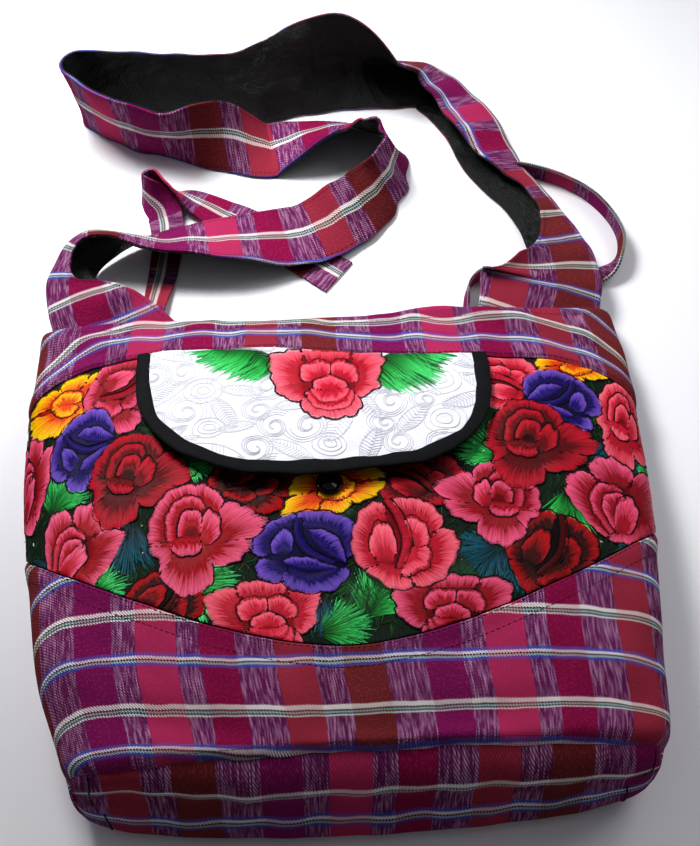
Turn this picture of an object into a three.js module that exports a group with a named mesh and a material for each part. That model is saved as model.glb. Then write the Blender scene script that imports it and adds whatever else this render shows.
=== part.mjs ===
// Woven hobo bag with an embroidered pocket, lying on its back with its strap laid out behind it.
// Millimetres, +Z up: the front of the bag faces up, its base faces -Y and its mouth faces +Y.
import * as THREE from "three";

// Cloth thickness and the clearance that neighbouring pieces keep
const SHELL = 2;
const STRAP_CLOTH = 1.4;
const STRAP_LINING = 0.9;
const TIE_CLOTH = 1.6;
const GAP = 0.5;
const SEAM_GAP = 0.6;

// Seams of the front, as distances from the base: each curve is a middle value and a rise at the sides
const HALF_GIRTH = 225;
const FRONT_HEM = { middle: 15, sides: -8 };
const BACK_HEM = { middle: -8, sides: 15 };
const LOWER_SEAM = { middle: 73, sides: 74 };
const UPPER_SEAM = { middle: 284, sides: -36 };
const FRONT_MOUTH = { middle: 317, sides: 8 };
const BACK_MOUTH = { middle: 327, sides: -2 };

// Back of the bag, pressed flat where it lies on the floor
const BACK_BOXINESS = 4.5;
const FLOOR_PRESS = 3;

// Base panel, set just inside the end of the body
const BASE_RECESS = 3;
const BASE_REACH = 0.93;
const BASE_CLEARANCE = 1;
const BASE_FLATNESS = 6;

// Half-round pocket flap, the binding round its edge and the button below it
const FLAP = { x: -10, top: 279, half: 110, depth: 99, roundness: 2.4, reach: 0.97, cloth: 1.8 };
const BINDING = { width: 8, height: 3.2, squareness: 2.6, sides: 10 };
const BUTTON = { x: -3, y: 169.5, radius: 8 };

const table = (columns, rows) => {
  const names = columns.split(" ");
  return rows.map((row, at) => ({ at, ...Object.fromEntries(names.map((name, k) => [name, row[k]])) }));
};

// Cross-sections of the body from base to mouth: middle, half width, height of the crown of the front,
// height of the side seams, and how boxy the front is (2 is an ellipse)
const SECTIONS = table("y middle half crown seam boxiness", [
  [-10, 8, 150, 74, 37, 5.0],
  [22, 10, 161, 75, 37, 4.6],
  [65, 5, 171, 73, 35, 4.0],
  [115, 4, 179, 69, 33, 3.4],
  [165, 3, 186, 64, 30, 3.0],
  [220, 2, 190, 56, 26, 2.7],
  [270, 3, 192, 47, 22, 2.5],
  [335, 2, 188, 33, 16, 2.3],
]);

// Soft folds and dents of the front: middle, half length, half width, height, turn from X in degrees
const FOLDS = table("x y length width height turn", [
  [-150, 303, 46, 9, 5, -14],
  [-120, 321, 60, 7, 3, 4],
  [118, 309, 60, 8, 5, -16],
  [60, 318, 40, 7, 3, 12],
  [-55, 314, 30, 8, -3, 0],
  [10, 312, 26, 8, -3, 0],
  [-95, 34, 60, 11, -4, -8],
  [60, 30, 90, 10, -3, 3],
  [-165, 95, 20, 50, 3, 20],
  [168, 90, 18, 46, 3, -20],
  [40, 130, 70, 22, -3, 30],
  [-110, 170, 40, 26, 2.5, -40],
  [140, 190, 34, 30, 2.5, 50],
]);

// Profile of the base from the back seam to the front seam: how far it bulges out at a share of its height
const BASE_PROFILE = table("share out", [
  [0, 0],
  [0.12, 8],
  [0.3, 9],
  [0.44, 1],
  [0.56, 8],
  [0.8, 9],
  [1, 0],
]);

// Strap from the left horn to the right one. Each row is a place on its middle line and the section
// there: lift of the lowest edge off the floor, direction of the far half in degrees, how far the near
// half folds towards it, and the widths of both halves
const STRAP = table("x y lift lean fold near far", [
  [-174, 303, 3.0, 187, 164, 80, 50],
  [-184, 336, 2.0, 193, 156, 82, 52],
  [-188, 362, 0.4, 198, 146, 46, 48],
  [-180, 386, 0.4, 204, 136, 20, 44],
  [-166, 399, 0.4, 226, 108, 12, 34],
  [-142, 400, 4.5, 280, 46, 14, 26],
  [-110, 399, 4.5, 324, 6, 21, 25],
  [-68, 404, 4.5, 340, 0, 30, 29],
  [-18, 412, 4.5, 350, 0, 31, 30],
  [17, 429, 2.5, 374, 0, 30, 30],
  [39, 449, 0.4, 402, 0, 30, 30],
  [46, 472, 0.4, 416, 0, 30, 30],
  [36, 496, 0.4, 408, 0, 30, 30],
  [12, 503, 0.4, 394, 0, 28, 30],
  [-28, 498, 0.4, 380, 0, 27, 30],
  [-70, 495, 0.4, 360, 0, 27, 29],
  [-104, 500, 0.4, 328, 0, 28, 29],
  [-132, 509, 0.4, 300, 0, 29, 29],
  [-158, 520, 0.4, 280, 0, 30, 30],
  [-177, 533, 0.4, 272, 0, 30, 30],
  [-170, 545, 0.4, 264, 0, 30, 30],
  [-146, 542, 0.4, 257, 0, 30, 30],
  [-100, 537, 0.4, 253, 0, 30, 30],
  [-54, 539, 0.4, 250, 0, 30, 30],
  [-12, 548, 0.4, 243, 8, 36, 32],
  [24, 560, 0.4, 233, 30, 42, 35],
  [58, 571, 0.4, 212, 92, 42, 37],
  [90, 572, 0.4, 192, 140, 41, 39],
  [116, 553, 0.4, 186, 154, 41, 41],
  [136, 520, 0.4, 186, 156, 41, 42],
  [147, 480, 0.4, 190, 152, 33, 40],
  [162, 440, 0.4, 198, 144, 16, 32],
  [176, 403, 4.0, 202, 140, 26, 36],
  [187, 372, 4.0, 199, 146, 58, 48],
  [189, 340, 4.0, 193, 156, 84, 54],
  [179, 303, 3.0, 187, 164, 82, 52],
]);

// Left tie: out of the mouth, under the strap, round in a small loop and back under it
const TIE_LEFT = table("x y lift lean fold near far", [
  [-118, 336, 1.5, 150, 0, 8, 8],
  [-115, 360, 0.3, 166, 0, 9, 9],
  [-111, 386, 0.3, 180, 0, 10, 10],
  [-109, 414, 0.3, 180, 0, 11, 11],
  [-111, 437, 0.3, 156, 0, 13, 13],
  [-121, 447, 0.3, 112, 0, 14, 14],
  [-125, 454, 0.3, 97, 0, 14, 14],
  [-117, 458, 0.3, 92, 0, 14, 14],
  [-107, 452, 0.3, 110, 0, 14, 14],
  [-91, 448, 0.3, 160, 0, 13, 13],
  [-68, 435, 0.3, 180, 0, 14, 14],
  [-40, 417, 0.3, 180, 0, 15, 15],
  [-14, 396, 0.3, 180, 0, 15, 15],
  [12, 375, 0.3, 180, 0, 16, 16],
]);

// Right tie: a small loop at the mouth, flat under the horn, then on edge round to the strap
const TIE_RIGHT = table("x y lift lean fold near far", [
  [95, 317, 2.4, 100, 0, 8, 8],
  [98, 338, 2.2, 100, 0, 8, 8],
  [102, 357, 0.3, 96, 0, 8, 8],
  [113, 368, 0.3, 104, 0, 8, 8],
  [124, 370, 0.3, 160, 0, 8, 8],
  [146, 365, 0.3, 180, 0, 8, 8],
  [172, 363, 0.3, 180, 0, 8, 8],
  [196, 366, 0.3, 160, 0, 8, 8],
  [209, 377, 0.3, 110, 0, 8, 8],
  [214, 394, 0.3, 94, 0, 8, 8],
  [210, 414, 0.3, 88, 0, 8, 8],
  [198, 435, 0.3, 84, 0, 8, 8],
  [180, 451, 0.3, 82, 0, 8, 8],
  [160, 461, 0.3, 82, 0, 8, 8],
]);

// Profile of the button from the middle of its back over its rim and dish to the top of its dome
const BUTTON_PROFILE = table("share height", [
  [0, 0],
  [0.86, 0],
  [1, 1.4],
  [0.98, 2.9],
  [0.88, 3.6],
  [0.74, 2.8],
  [0.4, 4],
  [0, 4.4],
]);

// Grid steps of each piece, across and along
const STEPS = {
  lower: [38, 6],
  embroidered: [38, 11],
  band: [38, 5],
  back: [30, 12],
  base: [24, 8],
  flap: [20, 6],
  binding: 36,
  button: 20,
  strapRow: 2,
  strapHalf: 1,
  crease: 2,
};
const CREASE_WIDTH = 11;

const FRONT = 1;
const BACK = -1;
const NUDGE = 1e-3;
const SIDE_NUDGE = 5e-3;

// Smooth value of a column of a table at a position along its key column
function valueAt(rows, key, column, position) {
  const last = rows.length - 1;
  const after = rows.findIndex((row) => row[key] >= position);
  const k = after < 0 ? last - 1 : Math.max(after - 1, 0);
  const slope = (n) => {
    const before = rows[Math.max(n - 1, 0)];
    const next = rows[Math.min(n + 1, last)];
    return (next[column] - before[column]) / (next[key] - before[key]);
  };
  const [a, b] = [rows[k], rows[k + 1]];
  const span = b[key] - a[key];
  const t = THREE.MathUtils.clamp((position - a[key]) / span, 0, 1);
  const rise = b[column] - a[column];
  const bend = t * (1 - t) ** 2 * (slope(k) * span - rise) + t * t * (1 - t) * (rise - slope(k + 1) * span);
  return a[column] + rise * t + bend;
}

const seamAt = (seam, across) => seam.middle + seam.sides * across * across;

function foldHeight(x, y) {
  let height = 0;
  for (const fold of FOLDS) {
    const turn = THREE.MathUtils.degToRad(fold.turn);
    const [dx, dy] = [x - fold.x, y - fold.y];
    const lengthwise = (dx * Math.cos(turn) + dy * Math.sin(turn)) / fold.length;
    const crosswise = (dy * Math.cos(turn) - dx * Math.sin(turn)) / fold.width;
    height += fold.height * Math.exp(-lengthwise * lengthwise - crosswise * crosswise);
  }
  return height;
}

// Half of a cross-section of the body, from the left side seam over the front or back to the right one
class HalfSection extends THREE.Curve {
  constructor(y, side) {
    super();
    this.y = y;
    this.side = side;
    this.middle = valueAt(SECTIONS, "y", "middle", y);
    this.half = valueAt(SECTIONS, "y", "half", y);
    this.seam = valueAt(SECTIONS, "y", "seam", y);
    const crown = valueAt(SECTIONS, "y", "crown", y);
    this.height = side === FRONT ? crown - this.seam : -this.seam - FLOOR_PRESS;
    this.power = 2 / (side === FRONT ? valueAt(SECTIONS, "y", "boxiness", y) : BACK_BOXINESS);
  }

  getPoint(t, target = new THREE.Vector3()) {
    const angle = Math.PI * (1 - t);
    const c = Math.cos(angle);
    const x = this.middle + this.half * Math.sign(c) * Math.abs(c) ** this.power;
    const z = this.seam + this.height * Math.abs(Math.sin(angle)) ** this.power;
    return target.set(x, this.y, Math.max(z, 0));
  }
}

// Point of the body's outer face: across runs from -1 at the left seam to 1 at the right seam
function bodyPoint(side, across, y) {
  const share = THREE.MathUtils.clamp((across + 1) / 2, 0, 1);
  const point = new HalfSection(y, side).getPointAt(share);
  if (side === FRONT) point.z += foldHeight(point.x, point.y);
  return point;
}

// The same point moved in from the outer face by a depth
function bodySkin(side, across, y, depth) {
  const left = bodyPoint(side, across - SIDE_NUDGE, y);
  const right = bodyPoint(side, across + SIDE_NUDGE, y);
  const low = bodyPoint(side, across, y - 1);
  const high = bodyPoint(side, across, y + 1);
  const normal = right.sub(left).cross(high.sub(low)).normalize().multiplyScalar(side);
  return bodyPoint(side, across, y).addScaledVector(normal, -depth);
}

// Point above the front at a place seen from above, raised along the cloth's normal
function frontHeight(x, y) {
  const section = new HalfSection(y, FRONT);
  const boxiness = 2 / section.power;
  const round = (1 - Math.abs((x - section.middle) / section.half) ** boxiness) ** (1 / boxiness);
  return section.seam + section.height * round + foldHeight(x, y);
}

function frontNormal(x, y) {
  const slopeX = (frontHeight(x + 1, y) - frontHeight(x - 1, y)) / 2;
  const slopeY = (frontHeight(x, y + 1) - frontHeight(x, y - 1)) / 2;
  return new THREE.Vector3(-slopeX, -slopeY, 1).normalize();
}

const onFront = (x, y, raise) =>
  new THREE.Vector3(x, y, frontHeight(x, y)).addScaledVector(frontNormal(x, y), raise);

// Closed geometry from points and quads, with its faces turned outwards
function closedBody(points, quads) {
  const halves = ([a, b, c, d]) => (d === undefined ? [[a, b, c]] : [[a, b, c], [a, c, d]]);
  const triangles = quads.flatMap(halves);
  const volume = triangles.reduce(
    (sum, [a, b, c]) => sum + points[a].dot(points[b].clone().cross(points[c])),
    0,
  );
  const index = triangles.flatMap(([a, b, c]) => (volume > 0 ? [a, b, c] : [a, c, b]));
  const geometry = new THREE.BufferGeometry().setFromPoints(points);
  geometry.setIndex(index);
  geometry.computeVertexNormals();
  return geometry;
}

// Cloth wall over a grid: place(u, v, face) gives the outer point for face 0 and the inner one for 1
function clothWall([columns, rows], place) {
  const points = [];
  const at = (i, j, face) => (face * (columns + 1) + i) * (rows + 1) + j;
  for (const face of [0, 1]) {
    for (let i = 0; i <= columns; i++) {
      for (let j = 0; j <= rows; j++) points.push(place(i / columns, j / rows, face));
    }
  }
  const quads = [];
  for (let i = 0; i < columns; i++) {
    for (let j = 0; j < rows; j++) {
      quads.push([at(i, j, 0), at(i + 1, j, 0), at(i + 1, j + 1, 0), at(i, j + 1, 0)]);
      quads.push([at(i, j, 1), at(i, j + 1, 1), at(i + 1, j + 1, 1), at(i + 1, j, 1)]);
    }
    quads.push([at(i, 0, 1), at(i + 1, 0, 1), at(i + 1, 0, 0), at(i, 0, 0)]);
    quads.push([at(i, rows, 0), at(i + 1, rows, 0), at(i + 1, rows, 1), at(i, rows, 1)]);
  }
  for (let j = 0; j < rows; j++) {
    quads.push([at(0, j, 0), at(0, j + 1, 0), at(0, j + 1, 1), at(0, j, 1)]);
    quads.push([at(columns, j, 1), at(columns, j + 1, 1), at(columns, j + 1, 0), at(columns, j, 0)]);
  }
  return closedBody(points, quads);
}

// Panel of the body between two seams, kept clear of its neighbours on all four sides
function bodyPanel(side, fromSeam, toSeam, steps) {
  const reach = 1 - GAP / HALF_GIRTH;
  return clothWall(steps, (u, v, face) => {
    const across = THREE.MathUtils.lerp(-reach, reach, u);
    const from = seamAt(fromSeam, across) + SEAM_GAP / 2;
    const to = seamAt(toSeam, across) - SEAM_GAP / 2;
    return bodySkin(side, across, THREE.MathUtils.lerp(from, to, v), face * SHELL);
  });
}

// Base panel, stretched between the inner faces of the back and the front, creased along its middle
function basePanel() {
  const depth = SHELL + BASE_CLEARANCE;
  return clothWall(STEPS.base, (u, v, face) => {
    const across = THREE.MathUtils.lerp(-BASE_REACH, BASE_REACH, u);
    const bottom = bodySkin(BACK, across, seamAt(BACK_HEM, across) + BASE_RECESS, depth);
    const top = bodySkin(FRONT, across, seamAt(FRONT_HEM, across) + BASE_RECESS, depth);
    const point = bottom.lerp(top, v);
    const fullness = 1 - (across / BASE_REACH) ** BASE_FLATNESS;
    point.y += face * SHELL - valueAt(BASE_PROFILE, "share", "out", v) * fullness;
    return point;
  });
}

// Depth of the flap's rounded edge below its top, for a half width and full depth
const flapDrop = (x, half, depth) =>
  depth * (1 - Math.min(Math.abs((x - FLAP.x) / half), 1) ** FLAP.roundness) ** (1 / FLAP.roundness);

function flapCloth() {
  const inset = BINDING.width + GAP;
  const half = FLAP.half - inset;
  return clothWall(STEPS.flap, (u, v, face) => {
    const x = FLAP.x + THREE.MathUtils.lerp(-1, 1, u) * half * FLAP.reach;
    const top = seamAt(UPPER_SEAM, x / HALF_GIRTH) - GAP;
    const bottom = FLAP.top - flapDrop(x, half, FLAP.depth - inset);
    return onFront(x, THREE.MathUtils.lerp(top, bottom, v), GAP + (1 - face) * FLAP.cloth);
  });
}

// Bias binding: a flattened round section carried along the rounded edge of the flap
function flapBinding() {
  const power = 2 / FLAP.roundness;
  const inset = BINDING.width / 2;
  const edge = (t) => {
    const angle = Math.PI * (1 - t);
    const c = Math.cos(angle);
    const x = FLAP.x + (FLAP.half - inset) * Math.sign(c) * Math.abs(c) ** power;
    const y = FLAP.top - (FLAP.depth - inset) * Math.abs(Math.sin(angle)) ** power;
    return new THREE.Vector2(x, y);
  };
  const points = [];
  const { sides } = BINDING;
  const steps = STEPS.binding;
  for (let i = 0; i <= steps; i++) {
    const middle = edge(i / steps);
    const ahead = edge(Math.min(i / steps + NUDGE, 1));
    const behind = edge(Math.max(i / steps - NUDGE, 0));
    const tangent = ahead.sub(behind).normalize();
    for (let k = 0; k < sides; k++) {
      const angle = (2 * Math.PI * k) / sides;
      const round = (value) => Math.sign(value) * Math.abs(value) ** (2 / BINDING.squareness);
      const out = (BINDING.width / 2) * round(Math.cos(angle));
      const up = (BINDING.height / 2) * (1 + round(Math.sin(angle)));
      points.push(onFront(middle.x + tangent.y * out, middle.y - tangent.x * out, GAP + up));
    }
  }
  const quads = [];
  for (let k = 0; k < sides; k++) {
    const next = (k + 1) % sides;
    for (let i = 0; i < steps; i++) {
      const ring = i * sides;
      quads.push([ring + k, ring + sides + k, ring + sides + next, ring + next]);
    }
    if (k > 0 && k < sides - 1) {
      quads.push([0, k, k + 1]);
      quads.push([steps * sides, steps * sides + k + 1, steps * sides + k]);
    }
  }
  return closedBody(points, quads);
}

// Domed button with a raised rim, turned about its own axis
function buttonBody() {
  const ring = ({ share, height }) => new THREE.Vector2(BUTTON.radius * share, height);
  const profile = BUTTON_PROFILE.map(ring);
  return new THREE.LatheGeometry(profile, STEPS.button).rotateX(Math.PI / 2);
}

// Section of a strip of cloth as a chain of points from its near edge to its far edge, in the upright
// plane across its route, with the directions of the cloth. The fold is rounded over the crease.
function stripChain({ lean, fold, near, far }) {
  const turn = (share) => lean + fold * (1 - THREE.MathUtils.smoothstep(share, -1, 1));
  const lengths = [];
  const flat = (width) => (width - CREASE_WIDTH / 2) / STEPS.strapHalf;
  const spread = (count, length) => Array.from({ length: count }, () => length);
  lengths.push(...spread(STEPS.strapHalf, flat(near)));
  lengths.push(...spread(STEPS.crease, CREASE_WIDTH / STEPS.crease));
  lengths.push(...spread(STEPS.strapHalf, flat(far)));
  let run = -near;
  const chain = [];
  const place = new THREE.Vector2();
  const middle = new THREE.Vector2();
  for (const length of [0, ...lengths]) {
    const heading = THREE.MathUtils.degToRad(turn((run + length / 2) / (CREASE_WIDTH / 2)));
    place.x += Math.cos(heading) * length;
    place.y += Math.sin(heading) * length;
    run += length;
    if (Math.abs(run) < NUDGE) middle.copy(place);
    const facing = THREE.MathUtils.degToRad(turn(run / (CREASE_WIDTH / 2)));
    const outer = new THREE.Vector2(-Math.sin(facing), Math.cos(facing));
    chain.push({ place: place.clone(), outer });
  }
  chain.forEach((link) => link.place.sub(middle));
  return chain;
}

// Strip laid along the rows of a table, settled on the floor row by row. The layer from one depth to
// another is measured from the outer face of the cloth.
function stripWall(rows, fromDepth, toDepth, settleDepth) {
  const last = rows.length - 1;
  const stations = last * STEPS.strapRow;
  const columns = ["x", "y", "lift", "lean", "fold", "near", "far"];
  const rowAt = (position) =>
    Object.fromEntries(columns.map((name) => [name, valueAt(rows, "at", name, position)]));
  const sections = Array.from({ length: stations + 1 }, (_, k) => {
    const position = k / STEPS.strapRow;
    const row = rowAt(position);
    const ahead = rowAt(Math.min(position + NUDGE, last));
    const behind = rowAt(Math.max(position - NUDGE, 0));
    const along = new THREE.Vector2(ahead.x - behind.x, ahead.y - behind.y).normalize();
    const chain = stripChain(row);
    const lowest = Math.min(
      ...chain.flatMap(({ place, outer }) => [place.y, place.y - outer.y * settleDepth]),
    );
    return { row, left: new THREE.Vector2(-along.y, along.x), chain, rise: row.lift - lowest };
  });
  const links = sections[0].chain.length - 1;
  return clothWall([stations, links], (u, v, face) => {
    const { row, left, chain, rise } = sections[Math.round(u * stations)];
    const { place, outer } = chain[Math.round(v * links)];
    const depth = face === 0 ? fromDepth : toDepth;
    const sideways = place.x - outer.x * depth;
    const height = place.y - outer.y * depth + rise;
    return new THREE.Vector3(row.x + left.x * sideways, row.y + left.y * sideways, height);
  });
}

const bag = new THREE.Group();

function addPiece(name, geometry, look) {
  const mesh = new THREE.Mesh(geometry, new THREE.MeshStandardMaterial(look));
  mesh.name = name;
  bag.add(mesh);
  return mesh;
}

const plaid = (color) => ({ color, roughness: 0.9, metalness: 0 });

addPiece("base_panel", basePanel(), plaid(0x7a2140));
addPiece("back_panel", bodyPanel(BACK, BACK_HEM, BACK_MOUTH, STEPS.back), plaid(0x93304f));
addPiece("front_lower_panel", bodyPanel(FRONT, FRONT_HEM, LOWER_SEAM, STEPS.lower), plaid(0x9a3357));
addPiece("embroidered_panel", bodyPanel(FRONT, LOWER_SEAM, UPPER_SEAM, STEPS.embroidered), plaid(0xc2274a));
addPiece("front_top_band", bodyPanel(FRONT, UPPER_SEAM, FRONT_MOUTH, STEPS.band), plaid(0xa23a5c));
addPiece("flap", flapCloth(), { color: 0xe9e7ee, roughness: 0.6, metalness: 0 });
addPiece("flap_binding", flapBinding(), { color: 0x121216, roughness: 0.7, metalness: 0 });

const button = addPiece("button", buttonBody(), { color: 0x0c0c0f, roughness: 0.2, metalness: 0 });
button.position.copy(onFront(BUTTON.x, BUTTON.y, GAP));
button.quaternion.setFromUnitVectors(new THREE.Vector3(0, 0, 1), frontNormal(BUTTON.x, BUTTON.y));

const liningTop = STRAP_CLOTH + GAP / 2;
const strapDepth = liningTop + STRAP_LINING;
addPiece("strap", stripWall(STRAP, 0, STRAP_CLOTH, strapDepth), plaid(0xa03058));
addPiece("strap_lining", stripWall(STRAP, liningTop, strapDepth, strapDepth), {
  color: 0x0b0c0f,
  roughness: 0.45,
  metalness: 0,
});
addPiece("tie_left", stripWall(TIE_LEFT, 0, TIE_CLOTH, TIE_CLOTH), plaid(0xa8365a));
addPiece("tie_right", stripWall(TIE_RIGHT, 0, TIE_CLOTH, TIE_CLOTH), plaid(0xa8365a));

// The bag rests on the floor, with its origin under the middle of everything
const extent = new THREE.Box3().setFromObject(bag);
const middle = extent.getCenter(new THREE.Vector3());
bag.position.set(-middle.x, -middle.y, -extent.min.z);

export default bag;
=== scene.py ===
# Woven hobo bag with an embroidered front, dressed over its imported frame
import math
from functools import partial

import bpy
import numpy as np
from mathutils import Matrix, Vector


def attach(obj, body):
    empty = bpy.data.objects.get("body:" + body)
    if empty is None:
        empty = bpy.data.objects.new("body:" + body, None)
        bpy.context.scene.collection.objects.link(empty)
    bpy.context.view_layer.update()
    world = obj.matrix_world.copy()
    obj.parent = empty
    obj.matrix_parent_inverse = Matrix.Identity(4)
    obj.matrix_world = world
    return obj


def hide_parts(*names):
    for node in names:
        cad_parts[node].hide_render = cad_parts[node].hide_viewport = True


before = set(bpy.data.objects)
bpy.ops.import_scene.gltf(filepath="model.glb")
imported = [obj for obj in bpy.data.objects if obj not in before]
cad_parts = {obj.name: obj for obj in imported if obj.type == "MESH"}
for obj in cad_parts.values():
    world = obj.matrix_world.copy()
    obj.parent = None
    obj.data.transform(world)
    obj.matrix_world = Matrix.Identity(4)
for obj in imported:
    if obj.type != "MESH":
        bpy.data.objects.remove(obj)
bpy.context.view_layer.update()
print("frame loaded")

mm = 0.001
moved = np.array([-12.741, -281.52, 0.0])  # the bag's own drawing frame to the row's frame, in mm
rng = np.random.default_rng(7)
bodyName = "root"
justInside = 1.001  # taken off a grid's count to keep its last point in the last cell


def linear(code):
    parts = [int(code[k:k + 2], 16) / 255 for k in (1, 3, 5)]
    return tuple(p / 12.92 if p <= 0.04045 else ((p + 0.055) / 1.055) ** 2.4 for p in parts)


def rgba(code, alpha=1.0):
    return (*linear(code), alpha)


# adds a node, sets its options, fills or links its sockets, and gives back one of its outputs
def addNode(tree, kind, inputs=None, out=0, stops=None, interpolation="LINEAR", **options):
    node = tree.nodes.new("ShaderNode" + kind)
    for name, value in options.items():
        setattr(node, name, value)
    if stops:
        marks = node.color_ramp.elements
        while len(marks) < len(stops):
            marks.new(1.0)
        for mark, (place, colour) in zip(marks, stops):
            mark.position = place
            mark.color = colour
        node.color_ramp.interpolation = interpolation
    for name, value in (inputs or {}).items():
        if isinstance(value, bpy.types.NodeSocket):
            tree.links.new(value, node.inputs[name])
        else:
            node.inputs[name].default_value = value
    return node.outputs[out] if node.outputs else node


# empty material, and addNode for its tree
def newMaterial(name):
    material = bpy.data.materials.new(name)
    material.use_nodes = True
    material.node_tree.nodes.clear()
    return material, partial(addNode, material.node_tree)


def smoothStep(low, high, value):
    t = np.clip((value - low) / (high - low), 0, 1)
    return t * t * (3 - 2 * t)


# rise of so many mm between two places, as (height, from, to)
def ramp(rise, value):
    height, low, high = rise
    return height * smoothStep(low, high, value)


def cosSin(degrees):
    return math.cos(math.radians(degrees)), math.sin(math.radians(degrees))


def asPoints(*columns):
    return np.stack(columns, axis=-1)


# length run so far, from 0, along a row of steps
def runOf(steps):
    return np.concatenate([[0], np.cumsum(steps)])


def plainShades(code, count):
    return np.broadcast_to(np.asarray(linear(code)), (count, 3, 3))


# smooth value of a column of a table, with the key in its first column
def along(rows, column, position):
    rows = np.asarray(rows, float)
    keys, values = rows[:, 0], rows[:, column]
    ahead = np.minimum(np.arange(len(keys)) + 1, len(keys) - 1)
    behind = np.maximum(np.arange(len(keys)) - 1, 0)
    slopes = (values[ahead] - values[behind]) / (keys[ahead] - keys[behind])
    k = np.clip(np.searchsorted(keys, position) - 1, 0, len(keys) - 2)
    span = keys[k + 1] - keys[k]
    t = np.clip((position - keys[k]) / span, 0, 1)
    rise = values[k + 1] - values[k]
    bend = t * (1 - t) ** 2 * (slopes[k] * span - rise) + t * t * (1 - t) * (rise - slopes[k + 1] * span)
    return values[k] + rise * t + bend


# the bag's body in mm: sections from base to mouth, folds of the front, seams as (middle, rise at the sides, bend)
body = {
    # y, middle, half width, crown, side seam height, boxiness
    "sections": [
        (-10, 8, 150, 74, 37, 5.0), (22, 10, 161, 75, 37, 4.6), (65, 5, 171, 73, 35, 4.0),
        (115, 4, 179, 69, 33, 3.4), (165, 3, 186, 64, 30, 3.0), (220, 2, 190, 56, 26, 2.7),
        (270, 3, 192, 47, 22, 2.5), (335, 2, 188, 33, 16, 2.3),
    ],
    # x, y, half length, half width, height, turn
    "folds": [
        (-150, 303, 46, 9, 5, -14), (-120, 321, 60, 7, 3, 4), (118, 309, 60, 8, 5, -16),
        (60, 318, 40, 7, 3, 12), (-55, 314, 30, 8, -3, 0), (10, 312, 26, 8, -3, 0),
        (-95, 34, 60, 11, -4, -8), (60, 30, 90, 10, -3, 3), (-165, 95, 20, 50, 3, 20),
        (168, 90, 18, 46, 3, -20), (40, 130, 70, 22, -3, 30), (-110, 170, 40, 26, 2.5, -40),
        (140, 190, 34, 30, 2.5, 50),
    ],
    # wave length, height, heading, phase of the small creases of the cloth
    "creases": [
        (61, 0.45, 24, 0.3), (43, 0.4, -38, 1.9), (29, 0.28, 71, 4.1), (23, 0.22, -12, 2.6), (17, 0.14, 48, 0.8),
    ],
    "frontHem": (15, -8, 2), "backHem": (-8, 15, 2), "lowerSeam": (71, 83, 1.52), "upperSeam": (285, -36, 6),
    "frontMouth": (317, 8, 2), "backMouth": (327, -2, 2),
    "upperHang": (5.5, 7.0, 0.2),  # how far the upper seam hangs, how much more to the right, over what share across
    "seamSoft": 0.2, "creaseSway": (1.7, 47, 83), "sectionSteps": 1601,
    "backBoxiness": 4.5, "floorPress": 3, "halfGirth": 200, "seamReach": 225, "wall": 2.0,
}
yLow, yHigh, yCount, acrossCount = -18.0, 344.0, 242, 401  # reach and grid of each half of the body


def seamAt(name, across):
    middle, sides, bend = body[name]
    soft = body["seamSoft"] if bend < 2 else 0.0
    line = middle + sides * ((across * across + soft * soft) ** (bend / 2) - soft ** bend)
    if name == "upperSeam":
        hang, tilt, spread = body["upperHang"]
        line = line - (hang + tilt * np.tanh(across / spread))
    return line


def foldHeight(x, y):
    height = np.zeros_like(x)
    for foldX, foldY, length, width, rise, turn in body["folds"]:
        c, s = cosSin(turn)
        dx, dy = x - foldX, y - foldY
        height = height + rise * np.exp(-((dx * c + dy * s) / length) ** 2 - ((dy * c - dx * s) / width) ** 2)
    sway, alongY, alongX = body["creaseSway"]
    for wave, rise, turn, phase in body["creases"]:
        c, s = cosSin(turn)
        bent = phase + sway * np.sin(y / alongY + x / alongX)
        height = height + rise * np.sin(2 * math.pi * (x * c + y * s) / wave + bent)
    return height


# one half of the body as a grid of places and normals: rows along y, columns across by the cloth's length
def halfBody(front):
    ys = np.linspace(yLow, yHigh, yCount)
    angle = np.linspace(math.pi, 0, body["sectionSteps"])
    c, s = np.cos(angle), np.abs(np.sin(angle))
    share = np.linspace(0, 1, acrossCount)
    places = np.empty((yCount, acrossCount, 3))
    for row, y in enumerate(ys):
        middle, half, crown, seam, boxiness = (float(along(body["sections"], k, y)) for k in range(1, 6))
        power = 2 / (boxiness if front else body["backBoxiness"])
        height = crown - seam if front else -seam - body["floorPress"]
        x = middle + half * np.sign(c) * np.abs(c) ** power
        z = np.maximum(seam + height * s ** power, 0)
        run = runOf(np.hypot(np.diff(x), np.diff(z)))
        places[row, :, 0] = np.interp(share, run / run[-1], x)
        places[row, :, 1] = y
        places[row, :, 2] = np.interp(share, run / run[-1], z)
    if front:
        places[..., 2] += foldHeight(places[..., 0], places[..., 1])
    normal = np.cross(np.gradient(places, axis=1), np.gradient(places, axis=0))
    normal *= (1 if front else -1) / np.linalg.norm(normal, axis=2, keepdims=True)
    return np.concatenate([places, normal], axis=2)


frontHalf, backHalf = halfBody(True), halfBody(False)


# place on a half of the body, raised off its outer face
def onHalf(half, across, y, raised):
    i = np.clip((y - yLow) / (yHigh - yLow) * (yCount - 1), 0, yCount - justInside)
    j = np.clip((across + 1) / 2 * (acrossCount - 1), 0, acrossCount - justInside)
    i0, j0 = i.astype(int), j.astype(int)
    fi, fj = (i - i0)[..., None], (j - j0)[..., None]
    low = half[i0, j0] * (1 - fj) + half[i0, j0 + 1] * fj
    high = half[i0 + 1, j0] * (1 - fj) + half[i0 + 1, j0 + 1] * fj
    found = low * (1 - fi) + high * fi
    return found[..., :3] + found[..., 3:] * np.asarray(raised)[..., None]


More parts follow.
